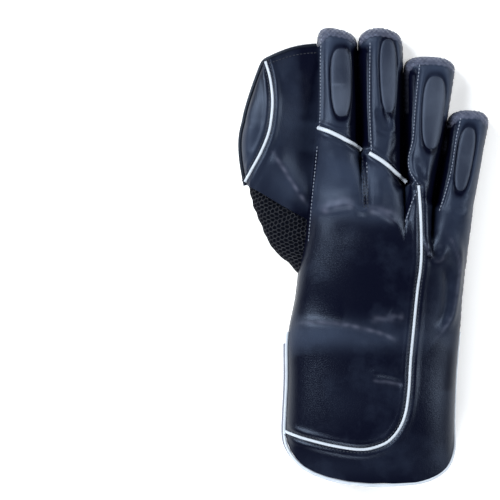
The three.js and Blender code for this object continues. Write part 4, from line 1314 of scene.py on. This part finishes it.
def grownMesh(name, points, edges, tree, settings, thickness):
    # Runs one of the trees over the edges and keeps the result as a plain mesh
    mesh = bpy.data.meshes.new(name + "Line")
    mesh.from_pydata(((np.array(points) + shift) * mm).tolist(), np.array(edges).tolist(), [])
    radius = mesh.attributes.new("radius", "FLOAT", "POINT")
    radius.data.foreach_set("value", thickness.astype(np.float32))
    piece = bpy.data.objects.new(name, mesh)
    bpy.context.collection.objects.link(piece)
    modifier = piece.modifiers.new("nodes", "NODES")
    modifier.node_group = tree
    for item in tree.interface.items_tree:
        if item.in_out == "INPUT" and item.name in settings:
            modifier[item.identifier] = settings[item.name]
    depsgraph = bpy.context.evaluated_depsgraph_get()
    made = bpy.data.meshes.new_from_object(piece.evaluated_get(depsgraph))
    made.name = name
    piece.modifiers.remove(modifier)
    piece.data = made
    return piece


def grown(name, lines, tree, settings, startThickness=1.0):
    starts = np.cumsum([0] + [len(line) for line in lines[:-1]])
    edges = [(first + i, first + i + 1) for first, line in zip(starts, lines) for i in range(len(line) - 1)]
    thickness = [np.interp(np.linspace(0, 1, len(line)), [0, 0.35], [startThickness, 1]) for line in lines]
    return grownMesh(name, np.concatenate(lines), edges, tree, settings, np.concatenate(thickness))


def topTree(names):
    # What is seen from straight above, for laying lines on
    corners, faces = [], []
    for name in names:
        mesh = bpy.data.objects[name].data
        first = len(corners)
        corners += [v.co.copy() for v in mesh.vertices]
        faces += [[first + i for i in p.vertices] for p in mesh.polygons]
    return BVHTree.FromPolygons(corners, faces)


def relaxed(line, times):
    line = np.array(line)
    for _ in range(times):
        line[1:-1] = (line[:-2] + 2 * line[1:-1] + line[2:]) / 4
    return line


backTree = topTree(["backPanel", "sidePanel", "indexBack", "middleBack", "ringBack", "littleBack"])
webTree = topTree(["webBack"])
missedLevel = 20.0  # height of a line's first points where they miss the surface


def laid(line, tree, lift):
    # Drops a plan line on a surface, and lifts it along the surface's normal
    points = []
    for px, py in np.array(line)[:, :2]:
        start = Vector(((px + shift[0]) * mm, (py + shift[1]) * mm, 0.2))
        hit, normal, _, _ = tree.ray_cast(start, Vector((0, 0, -1)))
        if hit is None:
            points.append((px, py, points[-1][2] if points else missedLevel))
            continue
        normal = normal if normal.z > 0 else -normal
        points.append(np.array(hit / mm + normal * lift) - shift)
    return relaxed(points, 2)


pipingSizes = {"back": 1.15, "web": 1.1, "cuff": 1.2, "knuckle": 1.5, "binding": 1.8}
# How far the cords lie above the surface, and how thin the back piping starts
pipingSeats = {"sink": 0.1, "knuckle": 0.35, "backStart": 0.75}
# How far the two cords of the cuff stand out on the left, along the hem and on the right
cuffSeats = {
    "back": {"left": 0.9, "hem": 1.6, "fading": 0.6, "right": -0.4, "above": 8.5},
    "palm": {"left": 2.2, "hem": 2.6, "fading": 0.8, "right": -1.7, "above": 0.0},
}
bindingSeat = {"depth": 2.0, "outside": 0.9}
# Points down a side and along the hem, how far the hem's line stops short of the corners, where its
# seat starts to fade and over what share, and how far the cord sits over the side seam and into the hem
cuffLine = {
    "sidePoints": 40, "hemPoints": 90, "corner": 0.04, "fadeFrom": 0.5, "fadeReach": 0.3,
    "overSeam": 0.2, "intoHem": 0.8,
}
# Start, end and number of points of the binding along the top of the web and down its outer edge
rimLine = {"top": (0.12, 0.995, 60), "side": (0.004, 1, 90)}


def cord(name, line, size, node, material="piping", slot="piping", start=1.0):
    settings = {"Radius": pipingSizes[size] * mm, "Material": materials[material]}
    finishPiece(grown(name, [line], cordTree, settings, start), material, slot, node)


def flapEdge(up):
    # Down one side of a cuff flap, along the hem and up the other side
    seat = cuffSeats["back" if up else "palm"]
    way = 1 if up else -1
    y = np.linspace(wristY + seat["above"], hemY(0.0) + 1, cuffLine["sidePoints"])
    z = seamZ(y) + (pipingSizes["cuff"] + cuffLine["overSeam"]) * way
    left = np.stack([handLeft(y) - seat["left"], y, z], axis=1)
    right = np.stack([handRight(y) + seat["right"], y, z], axis=1)[::-1]
    turn = np.linspace(cuffLine["corner"], 1 - cuffLine["corner"], cuffLine["hemPoints"]) * math.pi
    share = (1 - np.cos(turn)) / 2
    x, y = handX(share, hemY(share)), hemY(share)
    slope = np.gradient(y, x)
    fading = seat["fading"] * smooth((share - cuffLine["fadeFrom"]) / cuffLine["fadeReach"])
    away = seat["hem"] * (1 - fading) / np.hypot(1, slope)
    z = np.maximum(handSurface(up, share, y) - cuffLine["intoHem"] * way, pipingSizes["cuff"])
    hem = np.stack([x + slope * away, y - away, z], axis=1)
    return relaxed(np.concatenate([left, hem, right]), 6)


def webRim(depth, outside):
    topOut, sideDown = np.linspace(*rimLine["top"]), np.linspace(*rimLine["side"])
    top = webPoint(np.zeros_like(topOut), topOut, depth)
    side = webPoint(sideDown, np.ones_like(sideDown), depth)
    line = np.concatenate([top, side])
    along = np.gradient(line, axis=0)
    along[:, 2] = 0
    along /= np.maximum(np.linalg.norm(along, axis=1, keepdims=True), 1e-9)
    line[:, 0] += along[:, 1] * outside
    line[:, 1] -= along[:, 0] * outside
    return relaxed(line, 8)


backCord = laid(backPipingLine, backTree, pipingSeats["sink"])
cord("backPiping", backCord, "back", "back_piping", start=pipingSeats["backStart"])
cord("webPiping", laid(webPipingLine, webTree, pipingSeats["sink"]), "web", "web_piping")
for name, line in knuckleLines.items():
    knuckleCord = laid(line, backTree, pipingSeats["knuckle"])
    cord(name + "KnucklePiping", knuckleCord, "knuckle", name + "_knuckle_piping")
cord("cuffBackPiping", flapEdge(True), "cuff", "cuff_back_piping")
# The palm flap's cord takes the darker copy of the piping, painted shade
cord("cuffPalmPiping", flapEdge(False), "cuff", "cuff_palm_piping", "paintedShadePiping")
cord("webBinding", webRim(**bindingSeat), "binding", "web_binding", "binding", "binding")
print("pipings ready")

# The raised honeycomb of the rubber

netSizes = {"radius": 0.42, "sides": 5}
# The net of the thumb is pressed flat along the hem of the web: route, reach, what is left
pressedNet = {
    "route": [(243, 184), (262, 194), (284, 205), (310, 218)], "reach": 13.0, "left": 0.3,
    "above": 12.0, "fade": 4.0,
}
pressedLine = traced(pressedNet["route"])


def netLattice(low, high, cell):
    # Corners and edges of the honeycomb over a stretch of the flat pattern
    corners, edges = {}, set()
    tall = cell * math.sqrt(3) / 2
    origin = -uvReach / 2
    for j in range(int((low[1] - origin) / tall), int((high[1] - origin) / tall) + 1):
        first = (low[0] - origin) / cell - j / 2
        for i in range(int(first), int(first + (high[0] - low[0]) / cell) + 1):
            ring = []
            for turn in range(6):
                angle = math.radians(30 + 60 * turn)
                x = origin + (i + j / 2 + math.cos(angle) / math.sqrt(3)) * cell
                y = origin + j * tall + math.sin(angle) / math.sqrt(3) * cell
                ring.append(corners.setdefault((round(x, 2), round(y, 2)), len(corners)))
            edges |= {tuple(sorted(pair)) for pair in zip(ring, ring[1:] + ring[:1])}
    return np.array(list(corners)), np.array(sorted(edges))


def onSheet(grid, pattern, place):
    # Points of a skin that lie at given places of its flat pattern, and which of them are on it
    rows, columns = grid.shape[:2]
    out = np.zeros((len(place), 3))
    found = np.zeros(len(place), bool)
    for n, (u, v) in enumerate(place):
        row, column = rows / 2, columns / 2
        for _ in range(4):
            row = np.interp(v, pattern[:, int(round(column)), 1], np.arange(rows))
            column = np.interp(u, pattern[int(round(row)), :, 0], np.arange(columns))
        found[n] = 0 < row < rows - 1 and 0 < column < columns - 1
        r, c = min(int(row), rows - 2), min(int(column), columns - 2)
        a, b = row - r, column - c
        out[n] = mix(mix(grid[r, c], grid[r, c + 1], b), mix(grid[r + 1, c], grid[r + 1, c + 1], b), a)
    return out, found


def netThickness(points):
    gap = lineDistance(points[:, 0], points[:, 1], pressedLine)[0]
    high = smooth((points[:, 2] - pressedNet["above"]) / pressedNet["fade"])
    return 1 - high * (1 - pressedNet["left"]) * (1 - smooth(gap / pressedNet["reach"]))


def netOver(name, grid, along):
    # Struts whose tops are level with the surface
    pattern = patternOf(grid, along)
    spread = pattern.reshape(-1, 2)
    cell = rubberLooks["cell"]
    place, edges = netLattice(spread.min(axis=0), spread.max(axis=0), cell)
    points, found = onSheet(grid, pattern, place)
    points[:, 2] = np.maximum(points[:, 2], netSizes["radius"])
    edges = edges[found[edges].all(axis=1)]
    edges = edges[np.linalg.norm(points[edges[:, 0]] - points[edges[:, 1]], axis=1) < cell]
    used, packed = np.unique(edges, return_inverse=True)
    settings = {
        "Radius": netSizes["radius"] * mm, "Sides": netSizes["sides"], "Caps": False,
        "Material": materials["net"],
    }
    points = points[used]
    piece = grownMesh(name, points, packed.reshape(-1, 2), cordTree, settings, netThickness(points))
    finishPiece(piece, "net", "rubber")


for name, (grid, along) in netGrids.items():
    netOver(name, grid, along)
print("rubber net ready")

# Stitches

stitchSizes = {"spacing": 2.6, "length": 1.8, "thread": 0.38}
lightSeams = ["indexOuter", "indexOuterLow", "middleOuter", "ringOuter", "littleOuter", "ringGusset"]
# How far the threads lie above the leather
stitchLifts = {"seam": 0.15, "cross": 0.2, "piping": 0.1}
# How far the rows beside the pipings lie from them
besideCords = {"back": 2.4, "web": 2.3}
webHem = {"down": 0.035, "out": (0.14, 0.97, 60), "thread": 0.34}


def stitches(name, lines, material="darkThread", **changes):
    sizes = {**stitchSizes, **changes}
    settings = {"Material": materials[material]}
    for key, value in sizes.items():
        settings[key.capitalize()] = value * mm
    finishPiece(grown(name, lines, stitchTree, settings), material, "leather")


def beside(line, distance):
    along = np.gradient(line, axis=0)
    along /= np.linalg.norm(along, axis=1, keepdims=True)
    return line + np.stack([along[:, 1], -along[:, 0]], axis=1) * distance


def onSeams(names):
    return [laid(sewnLines[name], backTree, stitchLifts["seam"]) for name in names]


def bothSides(line, kind, tree):
    return [laid(beside(line, way * besideCords[kind]), tree, stitchLifts["piping"]) for way in (-1, 1)]


stitches("lightStitches", onSeams(lightSeams), "thread")
stitches("crossStitches", [laid(sewnLines["middleLow"][:12], backTree, stitchLifts["cross"])], "thread")
stitches("darkStitches", onSeams([name for name in sewnLines if name not in lightSeams]))
stitches("backPipingStitches", bothSides(backPipingLine, "back", backTree))
hemOut = np.linspace(*webHem["out"])
hemLine = webPoint(np.full_like(hemOut, webHem["down"]), hemOut, 0.0)
stitches("webHemStitches", [laid(hemLine, webTree, stitchLifts["seam"])], thread=webHem["thread"])
stitches("webPipingStitches", bothSides(webPipingLine, "web", webTree))
print("stitches ready")

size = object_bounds()
